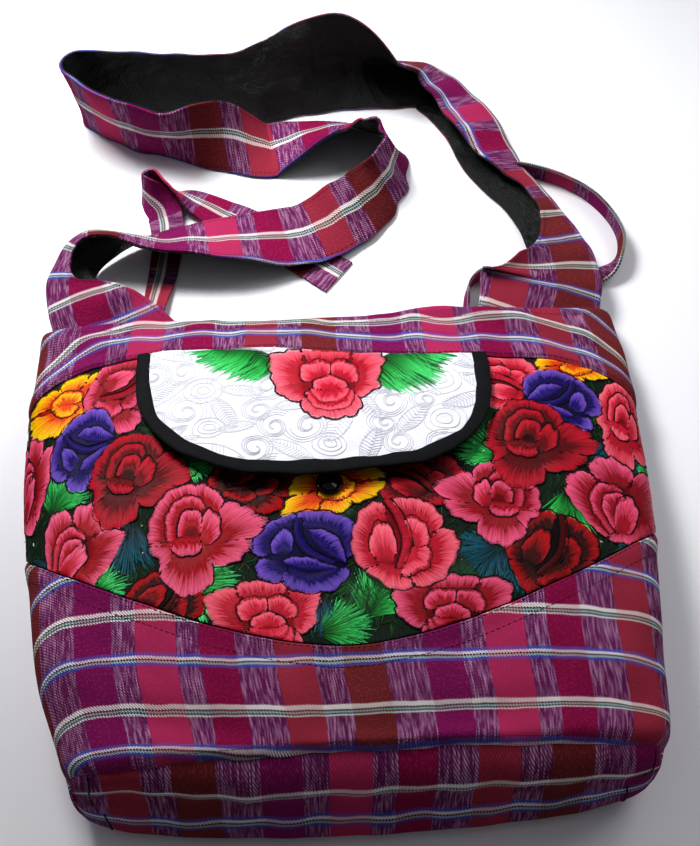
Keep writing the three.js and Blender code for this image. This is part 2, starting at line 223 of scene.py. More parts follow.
# place on the front under a point seen from above
def onFront(x, y, raised):
    def height(px, py):
        middle, half, crown, seam, boxiness = (along(body["sections"], k, py) for k in range(1, 6))
        share = np.clip(1 - np.abs((px - middle) / half) ** boxiness, 0, 1)
        return seam + (crown - seam) * share ** (1 / boxiness) + foldHeight(px, py)
    x, y = np.asarray(x, float), np.asarray(y, float)
    slopeX = (height(x + 1, y) - height(x - 1, y)) / 2
    slopeY = (height(x, y + 1) - height(x, y - 1)) / 2
    normal = asPoints(-slopeX, -slopeY, np.ones_like(slopeX))
    normal /= np.linalg.norm(normal, axis=-1, keepdims=True)
    return asPoints(x, y, height(x, y)) + normal * np.asarray(raised)[..., None]


def toRow(places):
    return (places + moved) * mm


def pointsOf(mesh):
    flat = np.empty(len(mesh.vertices) * 3)
    mesh.vertices.foreach_get("co", flat)
    return flat.reshape(-1, 3)


# sheet from a grid primitive: every point is laid by place(u, v), and the cloth map is kept in metres
def laySheet(name, columns, rows, place, clothMap):
    bpy.ops.object.select_all(action="DESELECT")
    bpy.ops.mesh.primitive_grid_add(x_subdivisions=columns, y_subdivisions=rows, size=1)
    sheet = bpy.context.object
    sheet.name = sheet.data.name = name
    mesh = sheet.data
    u, v = pointsOf(mesh)[:, :2].T + 0.5
    mesh.vertices.foreach_set("co", toRow(place(u, v)).ravel())
    corner = np.empty(len(mesh.loops), dtype=np.int32)
    mesh.loops.foreach_get("vertex_index", corner)
    mapU, mapV = clothMap(u, v)
    mesh.uv_layers[0].name = "cloth"
    mesh.uv_layers["cloth"].data.foreach_set("uv", asPoints(mapU[corner], mapV[corner]).ravel() * mm)
    mesh.update()
    bpy.ops.object.shade_smooth()
    return sheet


def dress(piece, materials, nodes=()):
    piece.data.materials.clear()
    for material in materials:
        piece.data.materials.append(material)
    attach(piece, bodyName)
    if nodes:
        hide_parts(*nodes)


# rounding of the rim as a share of the wall, edges it rounds in degrees, least height over the floor in mm
clothEdge = {"rim": 0.3, "segments": 2, "angle": 50, "offFloor": 0.1}


# dresses a laid sheet and gives it its thickness under its outer face, with a softened rim
def finishSheet(sheet, materials, node, wall):
    dress(sheet, materials, [node])
    bpy.context.view_layer.objects.active = sheet
    solid = sheet.modifiers.new("wall", "SOLIDIFY")
    solid.thickness = wall * mm
    solid.offset = -1
    solid.material_offset = len(materials) - 1  # the inner face is the last material
    bpy.ops.object.modifier_apply(modifier=solid.name)
    rim = sheet.modifiers.new("rim", "BEVEL")
    rim.width = wall * clothEdge["rim"] * mm
    rim.segments = clothEdge["segments"]
    rim.limit_method = "ANGLE"
    rim.angle_limit = math.radians(clothEdge["angle"])
    bpy.ops.object.modifier_apply(modifier=rim.name)
    places = pointsOf(sheet.data)
    places[:, 2] = np.maximum(places[:, 2], clothEdge["offFloor"] * mm)
    sheet.data.vertices.foreach_set("co", places.ravel())
    sheet.select_set(True)
    bpy.ops.object.shade_smooth()
    return sheet


# one object from arrays of points and quads
def meshFromQuads(name, points, quads):
    mesh = bpy.data.meshes.new(name)
    mesh.vertices.add(len(points))
    mesh.vertices.foreach_set("co", np.ascontiguousarray(points, float).ravel())
    mesh.loops.add(quads.size)
    mesh.loops.foreach_set("vertex_index", quads.astype(np.int32).ravel())
    mesh.polygons.add(len(quads))
    mesh.polygons.foreach_set("loop_start", np.arange(0, quads.size, 4, dtype=np.int32))
    mesh.update(calc_edges=True)
    mesh.polygons.foreach_set("use_smooth", np.ones(len(quads), dtype=bool))
    piece = bpy.data.objects.new(name, mesh)
    bpy.context.collection.objects.link(piece)
    return piece


# a wave texture's scale times the length of its waves, along its diagonal and along one axis
diagonalWave, straightWave = 0.628, 0.314

# handwoven cotton ikat plaid: blocks of warp colour, white-flecked ikat between them, weft stripes across
# the twill is about 0.5 mm in the real cloth and is drawn at 1.7 mm so that it shows, the ikat threads likewise
plaidLook = {
    "repeat": 193.0, "stripeRepeat": 54.0, "twill": 1.7, "fleck": (0.72, 15.0), "pick": 1.4,
    "wander": (1.4, 2.2), "ragged": 0.7,  # how far threads stray, and how far the ribs break the stripes' edges
    "fleckColour": "#c096b6", "pickColour": "#c2566e",
    # start in mm, colour, 1 where the block is ikat
    "blocks": [
        (0, "#ac305e", 0), (22, "#66205a", 1), (35, "#860d48", 0), (55, "#662059", 1), (76, "#963044", 0),
        (97, "#5e1f50", 1), (113, "#702a2c", 0), (135, "#682459", 1), (158, "#7b1459", 0), (179, "#6a245b", 1),
    ],
    # start in mm, colour, how far it covers the warp
    "stripes": [
        (0, "#000000", 0), (10.0, "#1e58bc", 0.85), (11.7, "#a5cfc4", 0.85), (13.0, "#140f1e", 0.9),
        (13.8, "#f4eef0", 0.92), (15.5, "#2862c4", 0.8), (17.3, "#000000", 0), (36.6, "#e4f0e6", 0.9),
        (37.7, "#123f44", 0.85), (38.5, "#a4d6c6", 0.85), (39.6, "#1c0d1a", 0.85), (40.5, "#f8f4ee", 0.95),
        (42.9, "#000000", 0),
    ],
}

repeat, stripeRepeat = plaidLook["repeat"] * mm, plaidLook["stripeRepeat"] * mm
plaid, add = newMaterial("cotton ikat plaid")
uv = add("UVMap", uv_map="cloth")
noise = add("TexNoise", {"Vector": uv, "Scale": 55.0, "Detail": 2.0}, "Color")  # strays over about 18 mm
stray = add("VectorMath", {0: noise, 1: (0.5, 0.5, 0.5)}, operation="SUBTRACT")
strayBy = (*(far * mm for far in plaidLook["wander"]), 0)
strayedUv = add("VectorMath", {0: stray, 1: strayBy, 2: uv}, operation="MULTIPLY_ADD")
acrossCloth, alongCloth, _ = add("SeparateXYZ", {0: strayedUv}).node.outputs
# twill: fine diagonal ribs, also used to break up the edges of the colours
twillScale = diagonalWave / (plaidLook["twill"] * mm)
ribs = add(
    "TexWave", {"Vector": uv, "Scale": twillScale, "Distortion": 0.9, "Detail": 1.0, "Detail Scale": 1.5},
    "Fac", wave_type="BANDS", bands_direction="DIAGONAL",
)
blockAt = add("Math", {0: acrossCloth, 1: 1 / repeat}, operation="MULTIPLY")
blocks = add(
    "ValToRGB", {"Fac": add("Math", {0: blockAt}, operation="FRACT")}, interpolation="CONSTANT",
    stops=[(at / plaidLook["repeat"], rgba(colour, ikat)) for at, colour, ikat in plaidLook["blocks"]],
)
isIkat = blocks.node.outputs["Alpha"]
# ikat: white dashes a thread wide, running with the warp, with a row of noise for each thread
fleckWide, fleckLong = plaidLook["fleck"]
thread = add("Math", {0: acrossCloth, 1: 1 / (fleckWide * mm)}, operation="MULTIPLY")
threadCount = add("Math", {0: thread}, operation="FLOOR")
threadRow = add("Math", {0: threadCount, 1: 5.3}, operation="MULTIPLY")
dashAt = add("Math", {0: alongCloth, 1: 1 / (fleckLong * mm)}, operation="MULTIPLY")
dashPlace = add("CombineXYZ", {"X": threadRow, "Y": dashAt})
dashes = add("TexNoise", {"Vector": dashPlace, "Scale": 1.0, "Detail": 2.0, "Roughness": 0.6})
dashShare = add("MapRange", {"Value": dashes, "From Min": 0.45, "From Max": 0.66})
speckle = add("MapRange", {"Value": ribs, "From Min": 0.3, "From Max": 0.7, "To Min": 0.25, "To Max": 1.0})
dashed = add("Math", {0: dashShare, 1: speckle}, operation="MULTIPLY")
ikat = add("Math", {0: dashed, 1: isIkat}, operation="MULTIPLY")
warp = add("Mix", {"Factor": ikat, 6: blocks, 7: rgba(plaidLook["fleckColour"])}, 2, data_type="RGBA")
# pale weft picks show as a speckle over the plain blocks
picks = add("TexNoise", {"Vector": uv, "Scale": 1 / (plaidLook["pick"] * mm), "Detail": 1.0})
pickShare = add("MapRange", {"Value": picks, "From Min": 0.5, "From Max": 0.8, "To Max": 0.3})
picked = add("Mix", {"Factor": pickShare, 6: warp, 7: rgba(plaidLook["pickColour"])}, 2, data_type="RGBA")
# weft stripes take some of the warp's colour
raggedAt = add("Math", {0: ribs, 1: plaidLook["ragged"] * mm, 2: alongCloth}, operation="MULTIPLY_ADD")
stripeAt = add("Math", {0: raggedAt, 1: 1 / stripeRepeat}, operation="MULTIPLY")
stripes = add(
    "ValToRGB", {"Fac": add("Math", {0: stripeAt}, operation="FRACT")}, interpolation="CONSTANT",
    stops=[(at / plaidLook["stripeRepeat"], rgba(colour, cover)) for at, colour, cover in plaidLook["stripes"]],
)
soaked = add("MapRange", {"Value": isIkat, "To Min": 0.3, "To Max": 0.08})
tint = add("Mix", {"Factor": soaked, 6: stripes, 7: picked}, 2, data_type="RGBA")
twist = add("MapRange", {"Value": ribs, "From Min": 0.1, "From Max": 0.6, "To Min": 0.5, "To Max": 1.0})
cover = add("Math", {0: stripes.node.outputs["Alpha"], 1: twist}, operation="MULTIPLY")
woven = add("Mix", {"Factor": cover, 6: picked, 7: tint}, 2, data_type="RGBA")
# uneven dye over about 36 mm, and painted shade between the ribs
dye = add("TexNoise", {"Vector": uv, "Scale": 28.0, "Detail": 3.0})
dyeShade = add("MapRange", {"Value": dye, "To Min": 0.78, "To Max": 1.16})
ribShade = add("MapRange", {"Value": ribs, "To Min": 0.82, "To Max": 1.08})
shade = add("Math", {0: dyeShade, 1: ribShade}, operation="MULTIPLY")
crinkle = add("TexNoise", {"Vector": uv, "Scale": 160.0, "Detail": 3.0})  # creases of about 6 mm
relief = add("Math", {0: crinkle, 1: 1.6, 2: ribs}, operation="MULTIPLY_ADD")
add("OutputMaterial", {"Surface": add("BsdfPrincipled", {
    "Base Color": add("VectorMath", {0: woven, "Scale": shade}, operation="SCALE"),
    "Normal": add("Bump", {"Height": relief, "Strength": 0.55, "Distance": 0.00022}),
    "Roughness": 0.9, "Specular IOR Level": 0.12,
})})

# black satin lining of polyester: deep black with a soft, streaky gloss on creases about 37 mm apart, and painted sheen
# on their tops
lining, add = newMaterial("black satin lining")
place = add("TexCoord", out="Object")
threads = add("TexNoise", {"Vector": place, "Scale": 900.0, "Detail": 2.0})  # threads drawn at 1.1 mm to show
creases = add("TexNoise", {"Vector": place, "Scale": 27.0, "Detail": 2.0, "Distortion": 0.6})
relief = add("Math", {0: creases, 1: 9.0, 2: threads}, operation="MULTIPLY_ADD")
add("OutputMaterial", {"Surface": add("BsdfPrincipled", {
    # base colour lighter on the crease tops: painted sheen
    "Base Color": add("ValToRGB", {"Fac": creases}, stops=[(0.3, rgba("#030605")), (0.75, rgba("#0a110f"))]),
    "Roughness": add("MapRange", {"Value": threads, "To Min": 0.36, "To Max": 0.5}),
    "Normal": add("Bump", {"Height": relief, "Strength": 0.9, "Distance": 0.0018}), "Specular IOR Level": 0.45,
})})

# rayon embroidery floss: clear colour with a bright run of light along each stitch, plies of 0.7 mm
floss, add = newMaterial("rayon embroidery floss")
dyed = add("Attribute", attribute_name="floss")
ply = add("TexNoise", {"Vector": add("TexCoord", out="Object"), "Scale": 1400.0, "Detail": 1.0})
shade = add("MapRange", {"Value": ply, "To Min": 0.73, "To Max": 1.1})
add("OutputMaterial", {"Surface": add("BsdfPrincipled", {
    "Base Color": add("VectorMath", {0: dyed, "Scale": shade}, operation="SCALE"),
    "Roughness": add("MapRange", {"Value": ply, "To Min": 0.42, "To Max": 0.6}), "Specular IOR Level": 0.16,
})})

# cotton ground of the embroidery, filled with dark green stitches 0.9 mm wide and 7 mm long
ground, add = newMaterial("green stitched ground")
stitchScale = (1 / 0.0009, 1 / 0.007, 1.0)
stretched = add("Mapping", {"Vector": add("UVMap", uv_map="cloth"), "Scale": stitchScale})
rows = add("TexNoise", {"Vector": stretched, "Scale": 1.0, "Detail": 2.0})
add("OutputMaterial", {"Surface": add("BsdfPrincipled", {
    "Base Color": add("ValToRGB", {"Fac": rows}, stops=[(0.3, rgba("#010603")), (0.7, rgba("#08260f"))]),
    "Normal": add("Bump", {"Height": rows, "Strength": 0.8, "Distance": 0.0004}),
    "Roughness": 0.7, "Specular IOR Level": 0.2,
})})

# white satin brocade ground: ribs drawn at 1.3 mm to show, with a duller bloom every 11 mm or so
brocade, add = newMaterial("white satin brocade")
uv = add("UVMap", uv_map="cloth")
ribs = add(
    "TexWave", {"Vector": uv, "Scale": straightWave / 0.0013, "Distortion": 0.8}, "Fac", bands_direction="Y",
)
bloom = add("TexNoise", {"Vector": uv, "Scale": 90.0, "Detail": 3.0})
mixed = add("Math", {0: ribs, 1: 0.35, 2: bloom}, operation="MULTIPLY_ADD")
add("OutputMaterial", {"Surface": add("BsdfPrincipled", {
    "Base Color": add("ValToRGB", {"Fac": mixed}, stops=[(0.35, rgba("#d6d6df")), (0.85, rgba("#eeeef3"))]),
    "Roughness": add("MapRange", {"Value": bloom, "To Min": 0.45, "To Max": 0.7}),
    "Normal": add("Bump", {"Height": mixed, "Strength": 0.3, "Distance": 0.0002}), "Specular IOR Level": 0.3,
})})

# black cotton bias tape: matt, slightly blue where it catches the light, with a weave drawn at 0.9 mm to show
tape, add = newMaterial("black bias tape")
place = add("TexCoord", out="Object")
weave = add("TexNoise", {"Vector": place, "Scale": 1100.0, "Detail": 2.0})
lint = add("TexNoise", {"Vector": place, "Scale": 120.0, "Detail": 3.0})
mixed = add("Math", {0: weave, 1: lint}, operation="MULTIPLY")
add("OutputMaterial", {"Surface": add("BsdfPrincipled", {
    "Base Color": add("ValToRGB", {"Fac": mixed}, stops=[(0.12, rgba("#050609")), (0.5, rgba("#12141a"))]),
    "Normal": add("Bump", {"Height": weave, "Strength": 0.5, "Distance": 0.0002}),
    "Roughness": 0.8, "Specular IOR Level": 0.25,
})})

# moulded black polyester button: glossy, with faint rubbed patches of about 3 mm
buttonFinish, add = newMaterial("moulded black button")
rubbed = add("TexNoise", {"Vector": add("TexCoord", out="Object"), "Scale": 300.0, "Detail": 3.0})
add("OutputMaterial", {"Surface": add("BsdfPrincipled", {
    "Base Color": add("ValToRGB", {"Fac": rubbed}, stops=[(0.3, rgba("#030304")), (0.8, rgba("#090a0c"))]),
    "Roughness": add("MapRange", {"Value": rubbed, "To Min": 0.1, "To Max": 0.2}), "Specular IOR Level": 0.3,
})})
print("materials ready")

# stitches: each is a short arched ribbon of floss laid on a surface
stitchStore = {}
# width and height of a ribbon's ends as shares of its middle, height of its ridge as a share of its width
ribbonShape = {"endWidth": 0.35, "endHeight": 0.3, "ridge": 0.32}


def addStitches(store, start, end, colours, width, raised, arch):
    perStitch = [np.broadcast_to(np.asarray(value, float), (len(start),)) for value in (width, raised, arch)]
    stitchStore.setdefault(store, []).append((start, end, colours, *perStitch))


# joins a store of stitches into one piece of floss; place(u, v, raised) lays the flat points on the surface
def joinStitches(name, store, place, segments):
    start, end, colours, width, raised, arch = (np.concatenate(part) for part in zip(*stitchStore.pop(store)))
    count = len(start)
    t = np.linspace(0, 1, segments + 1)
    run = end - start
    side = asPoints(-run[:, 1], run[:, 0]) / np.maximum(np.linalg.norm(run, axis=1, keepdims=True), 1e-6)
    hump = np.clip(1 - np.abs(2 * t - 1) ** 3, 0, 1)
    narrow = ribbonShape["endWidth"] + (1 - ribbonShape["endWidth"]) * np.sqrt(hump)
    low = ribbonShape["endHeight"] + (1 - ribbonShape["endHeight"]) * hump
    points = np.empty((count, segments + 1, 3, 2))
    heights = np.empty((count, segments + 1, 3))
    for k, (offset, ridge) in enumerate(((-0.5, 0), (0.0, ribbonShape["ridge"]), (0.5, 0))):
        points[:, :, k] = start[:, None] + run[:, None] * t[None, :, None]
        points[:, :, k] += side[:, None] * (offset * width[:, None] * narrow)[..., None]
        heights[:, :, k] = raised[:, None] * low + arch[:, None] * hump + ridge * width[:, None]
    laid = toRow(place(points[..., 0], points[..., 1], heights))
    base = np.arange(count)[:, None, None] * (segments + 1) * 3
    step = np.arange(segments)[None, :, None] * 3
    lane = np.arange(2)[None, None, :]
    first = base + step + lane
    quads = np.stack([first, first + 3, first + 4, first + 1], axis=-1).reshape(-1, 4)
    piece = meshFromQuads(name, laid.reshape(-1, 3), quads)
    shades = colours.shape[1]
    at = t * (shades - 1)
    k0 = np.minimum(at.astype(int), shades - 2)
    part = (at - k0)[None, :, None]
    tone = colours[:, k0] * (1 - part) + colours[:, k0 + 1] * part
    paint = np.ones((count, segments + 1, 3, 4))
    paint[..., :3] = tone[:, :, None]
    layer = piece.data.attributes.new("floss", "FLOAT_COLOR", "POINT")
    layer.data.foreach_set("color", paint.ravel())
    dress(piece, [floss])
    print(name, count, "stitches")
    return piece


def onPanel(u, v, raised):
    return onHalf(frontHalf, u / body["halfGirth"], v, raised)


# points at lengths along a line
def alongLine(line, run, lengths):
    return asPoints(np.interp(lengths, run, line[:, 0]), np.interp(lengths, run, line[:, 1]))


topstitch = {"colour": "#3a1028", "length": 2.6, "gap": 0.9, "width": 0.55, "raised": 0.1, "arch": 0.12}


# row of machine stitches along a flat line, in the topstitch's thread unless told otherwise
def sewRow(store, line, **changes):
    look = {**topstitch, **changes}
    run = runOf(np.linalg.norm(np.diff(line, axis=0), axis=1))
    starts = np.arange(0, run[-1] - look["length"], look["length"] + look["gap"])
    addStitches(
        store, alongLine(line, run, starts), alongLine(line, run, starts + look["length"]),
        plainShades(look["colour"], len(starts)), look["width"], look["raised"], look["arch"],
    )


# plain cloth pieces of the body: heights in mm, most as (height, from, to) in shares of the way up the panel
panels = {
    "lower": {
        "grid": (190, 72), "lift": (1.3, 0.84, 0.97), "tuckIn": (1.3, 0.975, 1), "curl": 6.0, "curlTo": 0.09,
        "mapU": 119, "stripeUp": 4.5, "hemTakes": (4.4, 36, 16), "leftSag": (48, 21), "rightSag": 15,
    },
    "embroidered": {"grid": (190, 100), "mapU": 0, "sunk": 0.1},
    "band": {
        "grid": (200, 34), "lift": (1.5, 0.3, 0.06), "tuckIn": (1.2, 0.05, 0), "roll": 2.4, "rollFrom": 0.9,
        "mapU": 132, "stripeUp": 18.0, "firstStripe": 13.7, "tuck": 13.3, "tuckLess": (5, -0.1, 0.5), "tuckAt": 5,
        "sways": [(1.1, 19, 0), (0.8, 34, 1)], "endsUp": 8,
    },
    "back": {"grid": (120, 84), "mapU": 60},
    "base": {
        "grid": (130, 44), "reach": 0.975, "recess": 2.5, "clear": 3, "floorRecess": 0.3, "floorClear": 2.3,
        "flatness": 6, "ripples": [(0.7, 23, 3), (0.5, 41, -5)], "dent": (9, -0.35, -0.7), "dentUp": (1, 0.45, 0.75),
        "profile": [(0, 2), (0.12, 8), (0.28, 9), (0.42, 7), (0.55, 7), (0.76, 13), (0.9, 8), (1, -4)],
        "mapU": 20, "mapShare": 0.9, "mapTop": 2.4, "mapDeep": 64, "length": 340, "depth": 76,
        # share across, from and to in shares up the base
        "corners": ((0.085, 0.5, 0.97), (0.1, 0.03, 0.42), (0.93, 0.5, 0.97), (0.9, 0.03, 0.42)),
        # dark line along each corner seam: painted shade of its crease
        "cornerThread": {"colour": "#0a0407", "length": 4.0, "gap": -0.6, "width": 1.7, "raised": 0.15},
        "cornerSway": (1.5, 9),
    },
}
panelReach = 1 - 0.5 / body["seamReach"]
seamGap = 0.3


# panel between two seams: raised(v) lifts it off the body, stripes(across, y) says how its pattern lies
def layPanel(name, node, look, half, seams, raised, stripes, face=plaid):
    def seamLines(u):
        across = (2 * u - 1) * panelReach
        return across, seamAt(seams[0], across), seamAt(seams[1], across)

    def place(u, v):
        across, low, high = seamLines(u if half is frontHalf else 1 - u)
        low, high = low + seamGap, high - seamGap
        return onHalf(half, across, low + (high - low) * v, raised(v))

    def clothMap(u, v):
        across, low, high = seamLines(u)
        return across * body["halfGirth"] + look["mapU"], stripes(across, low + (high - low) * v)

    sheet = laySheet(name, *look["grid"], place, clothMap)
    return finishSheet(sheet, [face, lining], node, body["wall"])


def plainStripes(across, y):
    return y


def lowerLift(v):
    return ramp(panels["lower"]["lift"], v)


def lowerRaised(v):
    look = panels["lower"]
    return lowerLift(v) - ramp(look["tuckIn"], v) - look["curl"] * np.clip(1 - v / look["curlTo"], 0, 1) ** 2


# the stripes sag towards the sides, and the hem takes up some cloth
def lowerStripes(across, y):
    look = panels["lower"]
    rise, drop = look["leftSag"]
    sag = np.where(across < 0, rise * across ** 8 - drop * across ** 2, look["rightSag"] * across ** 4)
    return y + look["stripeUp"] - ramp(look["hemTakes"], y) + sag


def groundRaised(v):
    return -panels["embroidered"]["sunk"] * np.ones_like(v)


def bandLift(v):
    return ramp(panels["band"]["lift"], v)


def bandRaised(v):
    look = panels["band"]
    return bandLift(v) - ramp(look["tuckIn"], v) - look["roll"] * smoothStep(look["rollFrom"], 1, v) ** 2


# the band's first stripe runs along its seam, and a tuck takes up some cloth above it
def bandStripes(across, y):
    look = panels["band"]
    sway = sum(far * np.sin(across * often + phase) for far, often, phase in look["sways"])
    up = y - seamAt("upperSeam", across) - look["stripeUp"] + look["endsUp"] * across ** 8 + sway
    tuck = look["tuck"] - ramp(look["tuckLess"], across)
    return up + look["firstStripe"] + np.where(up > look["tuckAt"], tuck, 0)


lowerPanel = layPanel("lower_front_cloth", "front_lower_panel", panels["lower"], frontHalf,
                      ("frontHem", "lowerSeam"), lowerRaised, lowerStripes)
groundPanel = layPanel("embroidery_ground", "embroidered_panel", panels["embroidered"], frontHalf,
                       ("lowerSeam", "upperSeam"), groundRaised, plainStripes, ground)
topBand = layPanel("mouth_band", "front_top_band", panels["band"], frontHalf,
                   ("upperSeam", "frontMouth"), bandRaised, bandStripes)
backPanel = layPanel("back_cloth", "back_panel", panels["back"], backHalf,
                     ("backHem", "backMouth"), np.zeros_like, plainStripes)


# base between the two hems, filled out along its profile
def basePlace(u, v):
    look = panels["base"]
    across = (2 * u - 1) * look["reach"]
    flat = np.ones_like(u)
    bottom = onHalf(backHalf, across, seamAt("backHem", across) + look["floorRecess"], -look["floorClear"] * flat)
    top = onHalf(frontHalf, across, seamAt("frontHem", across) + look["recess"], -look["clear"] * flat)
    places = bottom + (top - bottom) * v[:, None]
    fullness = 1 - (across / look["reach"]) ** look["flatness"]
    ripple = sum(far * np.sin(across * often + slant * v) for far, often, slant in look["ripples"])
    ripple = ripple - ramp(look["dent"], across) * ramp(look["dentUp"], v)
    places[:, 1] -= (along(look["profile"], 1, v) + ripple * np.sin(math.pi * v)) * fullness
    return places


def baseMap(u, v):
    look = panels["base"]
    across = (2 * u - 1) * look["reach"] * body["halfGirth"] * look["mapShare"]
    return across + look["mapU"], look["mapTop"] - (1 - v) * look["mapDeep"]


# place on the base, from mm of its cloth
def onBase(u, v, raised):
    look = panels["base"]
    places = basePlace(u.ravel() / look["length"], v.ravel() / look["depth"])
    places[:, 1] -= raised.ravel()
    return places.reshape(*u.shape, 3)


look = panels["base"]
basePanel = laySheet("base_cloth", *look["grid"], basePlace, baseMap)
finishSheet(basePanel, [plaid, lining], "base_panel", body["wall"])
# dark lines along the seams where the box corners are sewn: painted shade of the creases there
sway, wave = look["cornerSway"]
for across, low, high in look["corners"]:
    up = np.linspace(low, high, 24) * look["depth"]
    line = asPoints(across * look["length"] + sway * np.sin(up / wave), up)
    sewRow("corners", line, **look["cornerThread"])
cornerSeams = joinStitches("base_corner_seams", "corners", onBase, 2)
print("body panels ready")

